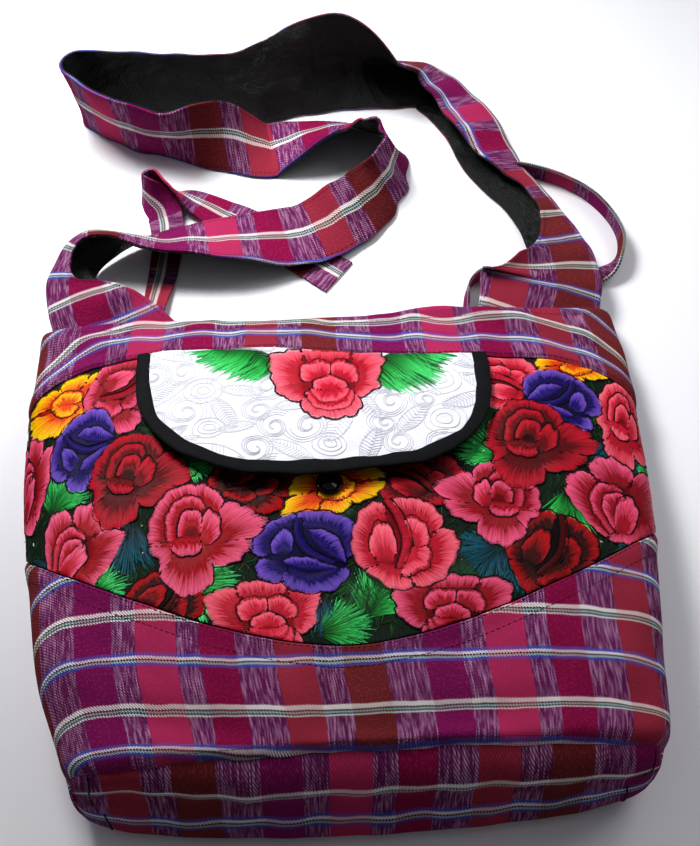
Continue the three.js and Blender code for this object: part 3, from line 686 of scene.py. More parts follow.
# embroidery chart: each petal has its shade, its layer, the line its stitches start from and the line of their tips,
# drawn in hundredths of the flower's half size, across and up from its middle
flowerKinds = {
    "open": [
        ("outer", 0, [(-60, -10), (-56, 40), (-30, 60), (5, 50), (18, 30)],
         [(-96, -9), (-94, 34), (-66, 83), (-22, 100), (14, 93), (36, 66)]),
        ("outer", 0.3, [(5, 0), (10, -10)], [(34, 66), (62, 60), (98, 34), (102, 18), (78, -4)]),
        ("outer", 0, [(0, -10), (-10, -20)], [(80, -2), (66, -30), (40, -46), (10, -50)]),
        ("outer", 0.3, [(0, -20), (-50, -25)],
         [(12, -48), (6, -76), (-20, -93), (-46, -97), (-66, -78), (-82, -58)]),
        ("outer", 0.1, [(-40, -15), (-40, 0)], [(-82, -58), (-78, -36), (-94, -18), (-97, -2)]),
        ("cup", 1.0, [(-46, 0), (-42, 34), (-26, 50), (-6, 44)],
         [(-66, -4), (-66, 40), (-45, 70), (-14, 77), (4, 58)]),
        ("cup", 1.6, [(-34, 6), (-28, 14), (-18, 16), (-12, 6)],
         [(-48, 4), (-43, 38), (-25, 54), (-5, 44), (-2, 10)]),
        ("side", 2.2, [(-8, -10), (0, -14)], [(-4, 36), (10, 52), (25, 34), (26, 6), (12, -10)]),
        ("lip", 2.6, [(-60, 2), (-34, 6), (-6, 4)], [(-58, -20), (-34, -30), (-6, -24)]),
    ],
    "cabbage": [
        ("outer", 0, [(-40, -20), (-40, 10), (-40, 45)],
         [(-46, -50), (-62, -40), (-86, -16), (-94, 16), (-102, 56), (-97, 76), (-80, 86), (-44, 90)]),
        ("outer", 0, [(44, 45), (44, 10), (44, -20)],
         [(44, 90), (78, 88), (95, 74), (100, 50), (90, 16), (88, -14), (66, -36), (50, -46)]),
        ("outer", 0.2, [(-30, 40), (30, 40)], [(-46, 90), (-20, 100), (14, 96), (46, 90)]),
        ("outer", 0.3, [(-30, -20), (0, -40), (36, -20)],
         [(-50, -46), (-38, -76), (0, -95), (34, -90), (54, -68), (54, -42)]),
        ("cup", 0.9, [(-22, 0), (-4, 12)], [(-45, 2), (-46, 42), (-24, 58), (3, 55), (6, 26)]),
        ("cup", 1.0, [(10, 12), (28, 0)], [(6, 26), (9, 55), (34, 56), (54, 34), (54, 0)]),
        ("lip", 1.1, [(-26, -20), (-14, -36), (2, -44), (20, -38), (32, -18)],
         [(-42, -22), (-30, -58), (0, -74), (34, -62), (46, -26)]),
        ("lip", 1.6, [(-18, -14), (2, -20), (22, -14)],
         [(-34, -16), (-22, -42), (0, -53), (25, -46), (38, -16)]),
        ("side", 2.0, [(-4, -22), (8, -22)], [(-30, -16), (-22, 8), (2, 20), (26, 7), (34, -16)]),
    ],
    "bud": [
        ("outer", 0, [(-66, -65), (-66, -15), (-60, 15), (-40, 34)],
         [(-84, -60), (-98, -15), (-103, 35), (-92, 70), (-62, 85), (-36, 70)]),
        ("outer", 0.3, [(-10, 20), (10, 20)], [(-38, 70), (-20, 94), (20, 94), (44, 68), (52, 40)]),
        ("outer", 0, [(13, 10), (10, -20), (-2, -55)],
         [(50, 42), (94, 42), (100, 12), (74, -35), (42, -70), (20, -94)]),
        ("outer", 0.2, [(2, -35), (-48, -55)], [(22, -94), (-30, -100), (-74, -72), (-84, -58)]),
        ("cup", 1.0, [(-58, -50), (-55, -5), (-38, 16), (-12, 16)],
         [(-74, -60), (-78, -5), (-66, 30), (-38, 46), (-6, 36), (8, 14)]),
        ("cup", 1.6, [(-50, -50), (-34, -20), (-18, -8)],
         [(-62, -50), (-58, 0), (-36, 22), (-6, 16), (0, 0)]),
        ("side", 2.2, [(-60, -62), (-50, -66)],
         [(-54, -40), (-34, -10), (-2, 8), (12, -14), (-2, -44), (-36, -72)]),
    ],
    "banded": [
        ("outer", 0, [(-55, -40), (-60, 7), (-46, 38), (-30, 50)],
         [(-81, -50), (-98, -20), (-100, 18), (-82, 68), (-58, 90), (-34, 92)]),
        ("outer", 0, [(0, 50), (30, 44), (42, 20)],
         [(-22, 98), (15, 102), (50, 90), (72, 60), (72, 34)]),
        ("outer", 0.3, [(36, 0), (32, -30), (0, -46)],
         [(70, 40), (98, 16), (94, -25), (72, -66), (42, -86), (10, -92)]),
        ("outer", 0.2, [(-15, -42), (-40, -36)], [(10, -90), (-27, -95), (-60, -72), (-82, -48)]),
        ("cup", 1.0, [(-50, -38), (-28, -38)], [(-70, -6), (-60, 34), (-40, 52), (-20, 26), (-16, -10)]),
        ("cup", 1.0, [(8, 14), (18, -6)], [(0, 62), (27, 58), (44, 34), (44, -4)]),
        ("side", 1.4, [(6, -8), (0, -20)], [(44, -6), (42, -42), (12, -62), (-16, -70)]),
        ("band", 2.2, [(-36, 93), (-18, 57), (-8, 7), (-24, -50)],
         [(-20, 98), (4, 57), (13, 7), (-8, -52)]),
    ],
    "lens": [
        ("outer", 0, [(-52, -11), (-55, 24), (-34, 46), (-14, 55)],
         [(-82, -24), (-100, 5), (-90, 37), (-67, 65), (-42, 82), (-20, 92)]),
        ("outer", 0.2, [(0, 50), (34, 46), (60, 22), (72, -16)],
         [(-22, 90), (17, 99), (62, 90), (94, 68), (102, 36), (92, -8)]),
        ("outer", 0.1, [(-40, -32), (-30, -42)], [(-82, -24), (-84, -62), (-58, -82), (-28, -76)]),
        ("outer", 0.3, [(-18, -42), (17, -52), (56, -42)],
         [(-40, -76), (-12, -96), (25, -99), (60, -90), (82, -62), (88, -36)]),
        ("cup", 1.0, [(-42, -14), (-25, -14)], [(-60, -14), (-60, 22), (-38, 50), (-22, 38), (-20, 4)]),
        ("cup", 1.2, [(-25, -42), (4, -50), (38, -50), (67, -44)],
         [(-40, -28), (-12, -16), (21, -18), (56, -34)]),
        ("side", 1.6, [(6, 44), (19, 12), (46, -13), (76, -26)],
         [(8, 50), (40, 48), (68, 22), (80, -24)]),
        ("band", 2.0, [(-22, 76), (-22, 32), (2, -11), (50, -34)],
         [(-6, 78), (-4, 42), (17, 4), (64, -22)]),
    ],
    "pansy": [
        ("outer", 0, [(0, -15), (15, -10)], [(-98, -20), (-70, -84), (-13, -95), (36, -74), (44, -30)]),
        ("outer", 0.3, [(-15, 0), (-5, 10)], [(-98, -16), (-82, 20), (-50, 46), (-20, 50)]),
        ("outer", 0, [(0, 15), (15, 15)], [(-32, 48), (0, 80), (45, 84)]),
        ("outer", 0.3, [(25, 20), (30, 10)], [(42, 80), (85, 102), (105, 86), (100, 46), (86, 20)]),
        ("outer", 0.1, [(20, 0), (15, -10)], [(90, 22), (84, -20), (60, -50), (40, -70)]),
        ("cup", 1.2, [(-10, -10), (10, -5)], [(-38, -16), (-32, 22), (0, 38), (32, 26), (34, 0)]),
        ("lip", 1.8, [(-5, -2), (8, -2)], [(-34, -16), (0, -44), (34, -16)]),
    ],
}
# base, middle and tip of the stitches, then the outline; the dark bases are partly the floss's own colour and partly
# painted shade at the petals' roots
flossColours = {
    "pink": ("#9a0414", "#c80c28", "#fb779f", "#2c040d"),
    "rose": ("#8c0416", "#bc0c2e", "#f86c97", "#28040b"),
    "coral": ("#b00a24", "#e6264a", "#ff7f92", "#36060e"),
    "crimson": ("#46020a", "#940616", "#d01c38", "#180306"),
    "dark": ("#1c0102", "#6c0309", "#cc101e", "#100102"),
    "purple": ("#140450", "#2a0c86", "#8c68d4", "#0a0426"),
    "yellow": ("#e22a00", "#f97400", "#ffe000", "#4a1400"),
    "leaf": ("#034216", "#16a038", "#5cea88", "#04200c"),
    "deep": ("#021a08", "#083a12", "#106426", "#02120a"),
    "teal": ("#02242e", "#064a5c", "#0c7080", "#02161a"),
}
# kind, across, up, half width, half height, turn, colour; later ones lie over earlier ones
flowers = [
    ("bud", -183, 198, 14, 38, 10, "rose"), ("open", 182, 212, 23, 39, -20, "coral"),
    ("pansy", -166, 252, 28, 27, 0, "yellow"), ("banded", -132, 254, 24, 33, -66, "rose"),
    ("pansy", 154, 263, 29, 19, 170, "yellow"), ("banded", 108, 251, 23, 26, 70, "coral"),
    ("lens", -150, 211, 23, 30, 40, "purple"), ("lens", 140, 233, -26, 26, 20, "purple"),
    ("banded", -51, 176, 27, 22, -60, "dark"), ("banded", 47, 176, 28, 21, 50, "crimson"),
    ("pansy", -2, 172, 31, 24, 180, "yellow"), ("bud", -148, 142, 24, 31, -6, "pink"),
    ("banded", -103, 97, 24, 24, -44, "dark"), ("cabbage", -46, 88, 33, 25, 4, "coral"),
    ("cabbage", 57, 88, 34, 24, -6, "rose"), ("lens", -23, 131, 31, 27, -6, "purple"),
    ("banded", 119, 119, 29, 30, -30, "dark"), ("bud", 168, 161, 33, 32, 24, "rose"),
    ("banded", 35, 132, 31, 31, 0, "coral"), ("open", -116, 184, 31, 37, -10, "crimson"),
    ("open", -78, 141, 34, 38, 0, "pink"), ("open", 84, 158, -32, 30, 12, "rose"),
    ("open", 122, 197, 35, 36, -14, "crimson"),
]
# across, up, direction, spread to each side, length, colour
leaves = [
    (-170, 166, 62, 52, 34, "leaf"), (-94, 196, -10, 60, 24, "leaf"), (-98, 118, -28, 48, 42, "leaf"),
    (-150, 108, 30, 46, 30, "leaf"), (-20, 78, 20, 50, 34, "leaf"), (8, 84, 62, 54, 38, "leaf"),
    (100, 186, 130, 58, 34, "leaf"), (130, 166, -70, 70, 34, "leaf"), (-62, 112, 150, 40, 26, "leaf"),
    (196, 172, 100, 50, 26, "leaf"), (-118, 158, -110, 50, 40, "teal"), (-14, 104, -100, 50, 26, "teal"),
    (92, 130, -150, 60, 34, "teal"), (92, 124, -60, 50, 30, "teal"), (164, 210, -80, 50, 34, "teal"),
    (156, 140, -30, 60, 34, "teal"), (-178, 144, -90, 50, 30, "teal"), (-90, 214, 200, 60, 30, "deep"),
    (110, 224, -140, 60, 34, "deep"), (10, 118, -90, 70, 30, "deep"), (172, 240, -100, 60, 30, "deep"),
    (-120, 228, -70, 60, 26, "deep"), (14, 150, 200, 60, 26, "deep"), (66, 128, -120, 60, 30, "deep"),
]
# weights of the base, middle and tip shades at the start, the middle and the end of a stitch; the outer and cup petals
# are darker at their roots, and the fill under the petals is darker all over: painted shade where petals overlap
plainWeights = [(1, 0, 0), (0, 1, 0), (0, 0, 1)]
shadeWeights = {
    "outer": [(0.8, 0, 0), (0.35, 0.65, 0), (0, 0, 1)], "cup": [(0.7, 0, 0), (0, 1, 0), (0, 0, 1)],
    "side": plainWeights, "lip": plainWeights, "band": [(0.75, 0, 0), (0, 0.75, 0), (0.75, 0, 0)],
    "fill": [(0.6, 0, 0), (0.6, 0, 0), (0.6, 0, 0)],
    "firstLength": [(1, 0, 0), (0.6, 0.4, 0), (0.35, 0.65, 0)],
    "secondLength": [(0.35, 0.65, 0), (0, 0.6, 0.4), (0, 0, 1)],
}
# sizes in mm; shares are of the stitch, or of the flower where one hides another
stitchLook = {
    "pitch": 0.85, "fewest": 6, "width": 1.05, "lowest": 0.16, "layer": 0.2, "arch": 0.36, "hides": 0.97,
    "longest": 9.0, "splitAt": (0.36, 0.7), "overlap": 0.12, "overRaised": 0.05,
    "lobe": 11, "lobeDeep": 0.1, "lobeMiddle": 0.6, "lobeShift": 0.3, "ragged": 0.03, "spread": 0.1,
    "outline": 1.15, "outlineWidths": (0.75, 1.15), "outlineOut": 0.015, "outlineOver": 0.3,
    "outlineRaised": 0.44, "outlineArch": 0.05, "outlineSides": (0.25, 0.5, 0.75),
}
fillLook = {
    "top": 0.92, "round": 0.94, "inside": 0.9, "runs": ((-1.0, -0.15), (-0.48, 0.48), (0.15, 1.0)),
    "width": 1.3, "raised": 0.06, "arch": 0.12,
}
curveSteps, trimSteps, shortestShare = 40, 37, 0.1


def flowerPoint(flower, a, b):
    _, across, up, halfAcross, halfUp, turn, _ = flower
    c, s = cosSin(turn)
    return asPoints(across + (a * c - b * s) * halfAcross, up + (a * s + b * c) * halfUp)


# points spread evenly along a smooth curve through a few charted ones
def throughPoints(points, count):
    points = np.asarray(points, float)
    t = np.linspace(0, len(points) - 1, curveSteps)
    keyed = np.concatenate([np.arange(len(points))[:, None], points], axis=1)
    fine = asPoints(along(keyed, 1, t), along(keyed, 2, t))
    run = runOf(np.hypot(*np.diff(fine, axis=0).T))
    return alongLine(fine, run, (np.arange(count) + 0.5) / count * run[-1])


def chartPoints(points, count):
    return throughPoints(np.asarray(points) / 100, count)


# outline of each kind of flower: the radius of its outer petals round its middle
outlines = {}
for kind, petals in flowerKinds.items():
    edge = np.concatenate([chartPoints(tips, curveSteps) for shade, _, _, tips in petals if shade == "outer"])
    angles = np.arctan2(edge[:, 1], edge[:, 0])
    order = np.argsort(angles)
    outlines[kind] = (angles[order], np.hypot(edge[:, 0], edge[:, 1])[order])


def insideFlower(flower, points, reach):
    kind, across, up, halfAcross, halfUp, turn, _ = flower
    c, s = cosSin(turn)
    dx, dy = (points[..., 0] - across) / halfAcross, (points[..., 1] - up) / halfUp
    a, b = dx * c + dy * s, dy * c - dx * s
    return np.hypot(a, b) < reach * np.interp(np.arctan2(b, a), *outlines[kind], period=2 * math.pi)


def clearOf(some, points, reach):
    clear = np.ones(points.shape[:-1], dtype=bool)
    for flower in some:
        clear &= ~insideFlower(flower, points, reach)
    return clear


# cuts stitches back to the part of them that shows, with the shades that belong there
def trim(start, end, rows, shows):
    t = np.linspace(0, 1, trimSteps)
    seen = shows(start[:, None] + (end - start)[:, None] * t[None, :, None])
    first = t[np.argmax(seen, axis=1)]
    last = t[len(t) - 1 - np.argmax(seen[:, ::-1], axis=1)]
    kept = seen.any(axis=1) & (last > first + shortestShare)
    start, end, rows, first, last = start[kept], end[kept], rows[kept], first[kept][:, None], last[kept][:, None]

    def tone(at):
        low = np.minimum(at * 2, 1)[..., None]
        high = np.maximum(at * 2 - 1, 0)[..., None]
        return rows[:, :1] * (1 - low) + rows[:, 1:2] * (low - high) + rows[:, 2:] * high
    shades = np.concatenate([tone(first + (last - first) * k) for k in (0.0, 0.5, 1.0)], axis=1)
    return start + (end - start) * first, start + (end - start) * last, shades


def shadeRows(colours, count, spread=stitchLook["spread"]):
    base = np.array([linear(code) for code in colours[:3]])
    light = 1 + spread * rng.standard_normal((count, 1, 1))
    return np.clip(base[None] * light, 0.001, 1)


def blend(name, rows):
    return np.asarray(shadeWeights[name], float) @ rows


# lays one flower: rows of satin stitches from each petal's root to its edge, longer ones in lengths that overlap,
# with a dark line round the edge
def sewFlower(store, flower, later, keep):
    kind, halfUp, colours = flower[0], flower[4], flossColours[flower[6]]
    look, width, arch = stitchLook, stitchLook["width"], stitchLook["arch"]

    def shows(points):
        return keep(points) & clearOf(later, points, look["hides"])

    def inFill(points):
        return shows(points) & insideFlower(flower, points, fillLook["inside"])

    # first a fill under all the petals
    rows = np.arange(-fillLook["top"], fillLook["top"], 1.0 / halfUp)
    reach = np.sqrt(fillLook["round"] ** 2 - rows ** 2)
    for low, high in fillLook["runs"]:
        start, end = flowerPoint(flower, reach * low, rows), flowerPoint(flower, reach * high, rows)
        # the fill is darkened: painted shade in the gaps between the petals
        filled = trim(start, end, blend("fill", shadeRows(colours, len(rows))), inFill)
        addStitches(store, *filled, fillLook["width"], fillLook["raised"], fillLook["arch"])
    for shade, layer, roots, tips in flowerKinds[kind]:
        shape = flowerPoint(flower, *chartPoints(tips, curveSteps).T)
        length = np.hypot(*np.diff(shape, axis=0).T).sum()
        count = max(int(length / look["pitch"]), look["fewest"])
        root, tip = chartPoints(roots, count), chartPoints(tips, count)
        t = (np.arange(count) + 0.5) / count
        wave = 0
        if shade != "band":
            lobes = max(1, round(length / look["lobe"]))
            shift = rng.uniform(-look["lobeShift"], look["lobeShift"])
            wave = look["lobeDeep"] * (np.abs(np.sin(math.pi * lobes * t + shift)) - look["lobeMiddle"])
        tip = tip + (tip - root) * (wave + rng.uniform(-look["ragged"], look["ragged"], count))[:, None]
        # darker roots: painted shade under the overlapping petals
        rows = blend(shade, shadeRows(colours, count))
        start, end, rows = trim(flowerPoint(flower, *root.T), flowerPoint(flower, *tip.T), rows, shows)
        if not len(start):
            continue
        raised = look["lowest"] + look["layer"] * layer
        long = np.linalg.norm(end - start, axis=1) > look["longest"]
        split = rng.uniform(*look["splitAt"], len(start))[:, None]
        cut = start + (end - start) * split
        over = start + (end - start) * (split - look["overlap"])
        addStitches(store, start[~long], end[~long], rows[~long], width, raised, arch)
        addStitches(store, start[long], cut[long], blend("firstLength", rows)[long], width, raised, arch)
        addStitches(store, over[long], end[long], blend("secondLength", rows)[long],
                    width, raised + look["overRaised"], arch)
        # dark line round the petal's edge and back to its root
        rim = tip + (tip - root) * look["outlineOut"]
        out = [root[:1] + (rim[:1] - root[:1]) * k for k in look["outlineSides"]]
        back = [root[-1:] + (rim[-1:] - root[-1:]) * k for k in look["outlineSides"][::-1]]
        whole = np.concatenate([*out, rim, *back] + ([root[::-1]] if shade == "band" else []))
        edge = flowerPoint(flower, *whole.T)
        seen = shows(edge[:-1]) & shows(edge[1:])
        start, end = edge[:-1][seen], edge[1:][seen]
        past = (end - start) * look["outlineOver"]
        addStitches(store + " lines", start - past, end + past, plainShades(colours[3], len(start)),
                    look["outline"] * rng.uniform(*look["outlineWidths"], len(start)),
                    raised + look["outlineRaised"], look["outlineArch"])


# length and brightness of the two layers of a leaf, then shares of its length, of its shades and sizes in mm
leafLook = {
    "layers": ((1.0, 0.62), (0.92, 1.0)), "crowd": 1.1, "near": (0.02, 0.32), "far": (0.68, 1.02), "rounded": 0.3,
    "rootGap": 0.12, "offRib": 0.35, "spread": 0.2, "darkShare": 0.16, "dark": 0.3,
    "width": 1.0, "raised": 0.06, "layer": 0.09, "arch": 0.28,
}


def sewLeaf(store, leaf, keep):
    across, up, heading, spread, length, colour = leaf
    look, middle, rib = leafLook, np.array([across, up]), np.array(cosSin(heading))
    many = int(math.radians(2 * spread) * length * look["crowd"] / stitchLook["pitch"])
    for layer, (share, bright) in enumerate(look["layers"]):
        t = np.sort(rng.uniform(0, 1, many))
        angle = np.radians(heading + spread * (2 * t - 1))
        ray = asPoints(np.cos(angle), np.sin(angle))
        near = length * rng.uniform(*look["near"], many)
        far = length * share * rng.uniform(*look["far"], many) * (1 - look["rounded"] * (2 * t - 1) ** 2)
        # the stitches bend off a rib along the leaf
        root = middle + near[:, None] * rib
        start = root + look["rootGap"] * far[:, None] * ray
        end = root * look["offRib"] + (1 - look["offRib"]) * middle + far[:, None] * ray
        rows = shadeRows(flossColours[colour], many, look["spread"]) * bright
        rows = rows * np.where(rng.random(many) < look["darkShare"], look["dark"], 1.0)[:, None, None]
        addStitches(store, *trim(start, end, rows, keep),
                    look["width"], look["raised"] + look["layer"] * layer, look["arch"])


# flap in mm, seen from above; hang is how much lower its top lies to the right
flapShape = {
    "x": -10, "top": 279, "half": 110, "depth": 104, "round": (2.55, 3.1), "reach": 0.985, "cutIn": 0.6,
    "cloth": 1.3, "raised": 1.5, "stand": 8.5, "hang": (9.0, -60, 90), "seamGap": 0.3, "grid": (140, 70),
    "hides": 14, "planShare": 0.965, "planShift": 3,  # how the panel below is hidden, from its own cloth's length
}
tapeShape = {
    "wide": 9.0, "high": 3.0, "tail": 0.025, "boxiness": 2.6, "sunk": 0.4, "puckers": [(0.05, 260, 0), (0.04, 147, 1)],
    "grid": (220, 18), "map": (300, 20), "merge": 0.02, "sewIn": 1.2, "sewRaised": 2.0, "sewRun": (0.01, 0.99, 500),
    "thread": {"colour": "#050507", "length": 2.2, "gap": 0.8, "width": 0.5, "raised": 0.0},
}


def flapTop(x):
    return flapShape["top"] - ramp(flapShape["hang"], x)


def flapBottom(x, half, depth):
    share = np.clip(np.abs((x - flapShape["x"]) / half), 0, 1)
    power = np.where(x < flapShape["x"], *flapShape["round"])
    drop = (1 - share ** power) ** (1 / power)
    return flapTop(x) + (flapShape["top"] - depth - flapTop(x)) * drop


# open ground of the panel: between its seams and not hidden well under the flap
showGap, showReach = 0.4, 0.99


def onShow(points):
    u, v = points[..., 0], points[..., 1]
    across = u / body["halfGirth"]
    shown = (v > seamAt("lowerSeam", across) + showGap) & (v < seamAt("upperSeam", across) - showGap)
    shown &= np.abs(across) < showReach
    x = u * flapShape["planShare"] + flapShape["planShift"]
    half, depth = flapShape["half"] - flapShape["hides"], flapShape["depth"] - flapShape["hides"]
    hidden = (np.abs(x - flapShape["x"]) < half) & (v > flapBottom(x, half, depth))
    return shown & ~hidden


# dark green fill under everything, with a few gaps of the white cloth
fieldLook = {
    "count": 3600, "across": (-198, 198), "up": (74, 282), "heading": (1.4, 0.5), "half": (3, 6), "under": 0.95,
    "spread": 0.35, "shade": 0.7, "width": 1.0, "raised": 0.02, "arch": 0.15,
}
gapLook = {
    "count": 150, "across": (-195, 195), "up": (80, 275), "tail": 2.4, "clear": 1.02,
    "colour": "#d2d0da", "widths": (0.5, 1.4), "raised": 0.3, "arch": 0.1,
}
leafUnder = 0.96


def scattered(look):
    return asPoints(rng.uniform(*look["across"], look["count"]), rng.uniform(*look["up"], look["count"]))


def betweenFlowers(points):
    return onShow(points) & clearOf(flowers, points, leafUnder)


look = fieldLook
spots = scattered(look)
spots = spots[onShow(spots)]
heading = rng.normal(*look["heading"], len(spots))
reach = rng.uniform(*look["half"], len(spots))[:, None] * asPoints(np.cos(heading), np.sin(heading))
inPlace = onShow(spots + reach) & onShow(spots - reach) & clearOf(flowers, spots, look["under"])
spots, reach = spots[inPlace], reach[inPlace]
shades = shadeRows(flossColours["deep"], len(spots), look["spread"]) * look["shade"]
addStitches("green", spots - reach, spots + reach, shades, look["width"], look["raised"], look["arch"])
look = gapLook
gaps = scattered(look)
gaps = gaps[onShow(gaps) & clearOf(flowers, gaps, look["clear"])]
tails = rng.uniform(-look["tail"], look["tail"], (len(gaps), 2))
addStitches("green", gaps, gaps + tails, plainShades(look["colour"], len(gaps)),
            rng.uniform(*look["widths"], len(gaps)), look["raised"], look["arch"])
for leaf in leaves:
    sewLeaf("green", leaf, betweenFlowers)
for k, flower in enumerate(flowers):
    sewFlower("roses", flower, flowers[k + 1:], onShow)
greenWork = joinStitches("leaf_embroidery", "green", onPanel, 3)
roseWork = joinStitches("rose_embroidery", "roses", onPanel, 3)
roseLines = joinStitches("rose_outlines", "roses lines", onPanel, 2)

# topstitching along the seams of the front: seam, mm from it, how far across
seamRows = [
    ("lowerSeam", -2.2, 0.93), ("lowerSeam", -12.5, 0.93), ("upperSeam", 2.6, 0.93), ("frontMouth", -9.0, 0.93),
    ("frontHem", 3.0, 0.8),
]
for name, offset, reach in seamRows:
    across = np.linspace(-reach, reach, 300)
    sewRow("sewing", asPoints(across * body["halfGirth"], seamAt(name, across) + offset))


# place on the front, over the lifted edges of the lower panel and the band
def onSeams(u, v, raised):
    across = u / body["halfGirth"]
    hem, lower = seamAt("frontHem", across), seamAt("lowerSeam", across)
    upper, mouth = seamAt("upperSeam", across), seamAt("frontMouth", across)
    onLower = lowerLift((v - hem) / (lower - hem)) * (v < lower)
    onBand = bandLift((v - upper) / (mouth - upper)) * (v > upper)
    return onHalf(frontHalf, across, v, raised + onLower + onBand)


looseThreads = [
    [(-72, 160), (-64, 157), (-59, 148), (-53, 141)],
    [(-84, 126), (-89, 120), (-84, 116), (-79, 121), (-86, 125), (-84, 132)],
    [(-86, 112), (-89, 104), (-83, 102), (-80, 108), (-77, 100), (-74, 91)], [(-140, 160), (-136, 155), (-135, 150)],
    [(-60, 119), (-57, 123), (-54, 120)], [(-80, 140), (-79, 133), (-82, 128)], [(60, 160), (64, 157), (66, 152)],
]
looseLook = {"colour": "#a8986a", "steps": 30, "over": 0.3, "width": 0.42, "raised": 1.5, "arch": 0.0}
for points in looseThreads:
    line = throughPoints(points, looseLook["steps"])
    past = (line[1:] - line[:-1]) * looseLook["over"]
    addStitches("ends", line[:-1], line[1:] + past, plainShades(looseLook["colour"], len(past)),
                looseLook["width"], looseLook["raised"], looseLook["arch"])
threadEnds = joinStitches("loose_threads", "ends", onPanel, 1)
frontSewing = joinStitches("front_topstitching", "sewing", onSeams, 2)
print("front embroidered")


# brocade flap, cut to the line inside its tape
def flapPlan(u, v):
    inset = tapeShape["wide"] * flapShape["cutIn"]
    half, depth = flapShape["half"] - inset, flapShape["depth"] - inset
    x = flapShape["x"] + (2 * u - 1) * half * flapShape["reach"]
    top = seamAt("upperSeam", x / body["seamReach"]) - flapShape["seamGap"]
    bottom = flapBottom(x, half, depth)
    return x, bottom + (top - bottom) * v


# the flap stands off the bag towards its tip
def flapRise(y):
    rise = (flapShape["stand"], flapShape["top"], flapShape["top"] - flapShape["depth"])
    return flapShape["raised"] + ramp(rise, y)


def onBrocade(x, y, raised):
    return onFront(x, y, flapRise(y) + flapShape["cloth"] + raised)


def flapPlace(u, v):
    return onBrocade(*flapPlan(u, v), 0)


flapCloth = laySheet("flap_brocade", *flapShape["grid"], flapPlace, flapPlan)
finishSheet(flapCloth, [brocade, lining], "flap", flapShape["cloth"])


# line along the tape: up from the seam, round the flap and back up
def tapeEdge(t, inset):
    tail = tapeShape["tail"]
    angle = math.pi * (1 - np.clip((t - tail) / (1 - 2 * tail), 0, 1))
    c, s = np.cos(angle), np.abs(np.sin(angle))
    power = 2 / np.where(c < 0, *flapShape["round"])
    x = flapShape["x"] + (flapShape["half"] - inset) * np.sign(c) * np.abs(c) ** power
    beyond = np.maximum(tail - t, 0) + np.maximum(t - 1 + tail, 0)
    low, high = flapShape["top"] - flapShape["depth"] + inset, flapTop(x)
    toSeam = seamAt("upperSeam", x / body["seamReach"]) - high - flapShape["seamGap"]
    return x, high + (low - high) * s ** power + beyond / tail * toSeam


def tapeRound(value):
    return np.sign(value) * np.abs(value) ** (2 / tapeShape["boxiness"])


# bias tape: a flattened tube round the edge of the flap, with small puckers
def tapePlace(u, v):
    half, step = tapeShape["wide"] / 2, 0.002
    x, y = tapeEdge(u, half)
    aheadX, aheadY = tapeEdge(np.minimum(u + step, 1), half)
    behindX, behindY = tapeEdge(np.maximum(u - step, 0), half)
    run = asPoints(aheadX - behindX, aheadY - behindY)
    run /= np.linalg.norm(run, axis=1, keepdims=True)
    angle = -2 * math.pi * v
    pucker = 1 + sum(deep * np.sin(u * often + phase) for deep, often, phase in tapeShape["puckers"])
    out = half * tapeRound(np.cos(angle))
    up = tapeShape["high"] / 2 * (1 + tapeRound(np.sin(angle)) * pucker)
    return onFront(x + run[:, 1] * out, y - run[:, 0] * out, flapRise(y) - tapeShape["sunk"] + up)


def tapeMap(u, v):
    return u * tapeShape["map"][0], v * tapeShape["map"][1]


flapTape = laySheet("flap_bias_tape", *tapeShape["grid"], tapePlace, tapeMap)
bpy.ops.object.mode_set(mode="EDIT")
bpy.ops.mesh.select_all(action="SELECT")
bpy.ops.mesh.remove_doubles(threshold=tapeShape["merge"] * mm)
bpy.ops.mesh.select_all(action="DESELECT")
bpy.ops.mesh.select_non_manifold()
bpy.ops.mesh.edge_face_add()
bpy.ops.mesh.select_all(action="SELECT")
bpy.ops.mesh.normals_make_consistent(inside=False)
bpy.ops.object.mode_set(mode="OBJECT")
dress(flapTape, [tape], ["flap_binding"])

flapRose = ("cabbage", -0.5, 249, 36, 35, 0, "coral")
flapLeaves = [  # line the stitches start from, line of their tips
    ([(-33, 262), (-38, 279), (-66, 285)], [(-46, 253), (-62, 257), (-78, 270), (-90, 284)]),
    ([(-33, 270), (-44, 283), (-72, 286)], [(-42, 256), (-58, 261), (-80, 279)]),
    ([(28, 252), (34, 270), (54, 280)], [(38, 238), (56, 238), (72, 250), (82, 272)]),
    ([(30, 258), (38, 274), (58, 282)], [(40, 242), (57, 245), (74, 264)]),
]
# woven figures of the brocade: rings, curls and ribbed leaves in fine lines, spread over the flap; their grey is partly
# the tint of the floats and partly painted shade of the figures' relief
figureLook = {
    "kinds": ("curl", "leaf", "rings", "leaf", "curl", "curl", "leaf"), "size": (9.0, 13.5),
    "step": 21.0, "rowStep": 0.86, "left": -118, "right": 100, "above": 8, "stray": (4, 3), "inset": 8.0, "under": 0.96,
    "rings": (0.34, 0.66, 1.0), "ringSteps": 26,
    "curls": (1.0, 0.84, 0.7), "curlSteps": 44, "curlTurns": 1.6, "curlFrom": 1.25, "curlIn": 1.12,
    "leafLong": 1.35, "leafWide": 0.46, "leafBend": 0.8, "leafSteps": 24,
    "ribs": 13, "ribReach": 0.85, "ribSlant": 0.16,
    "thread": 2.0, "over": 0.15, "raised": 0.02, "shades": ("#d2d2dd", "#dcdce4", "#d7d7e0"),
}


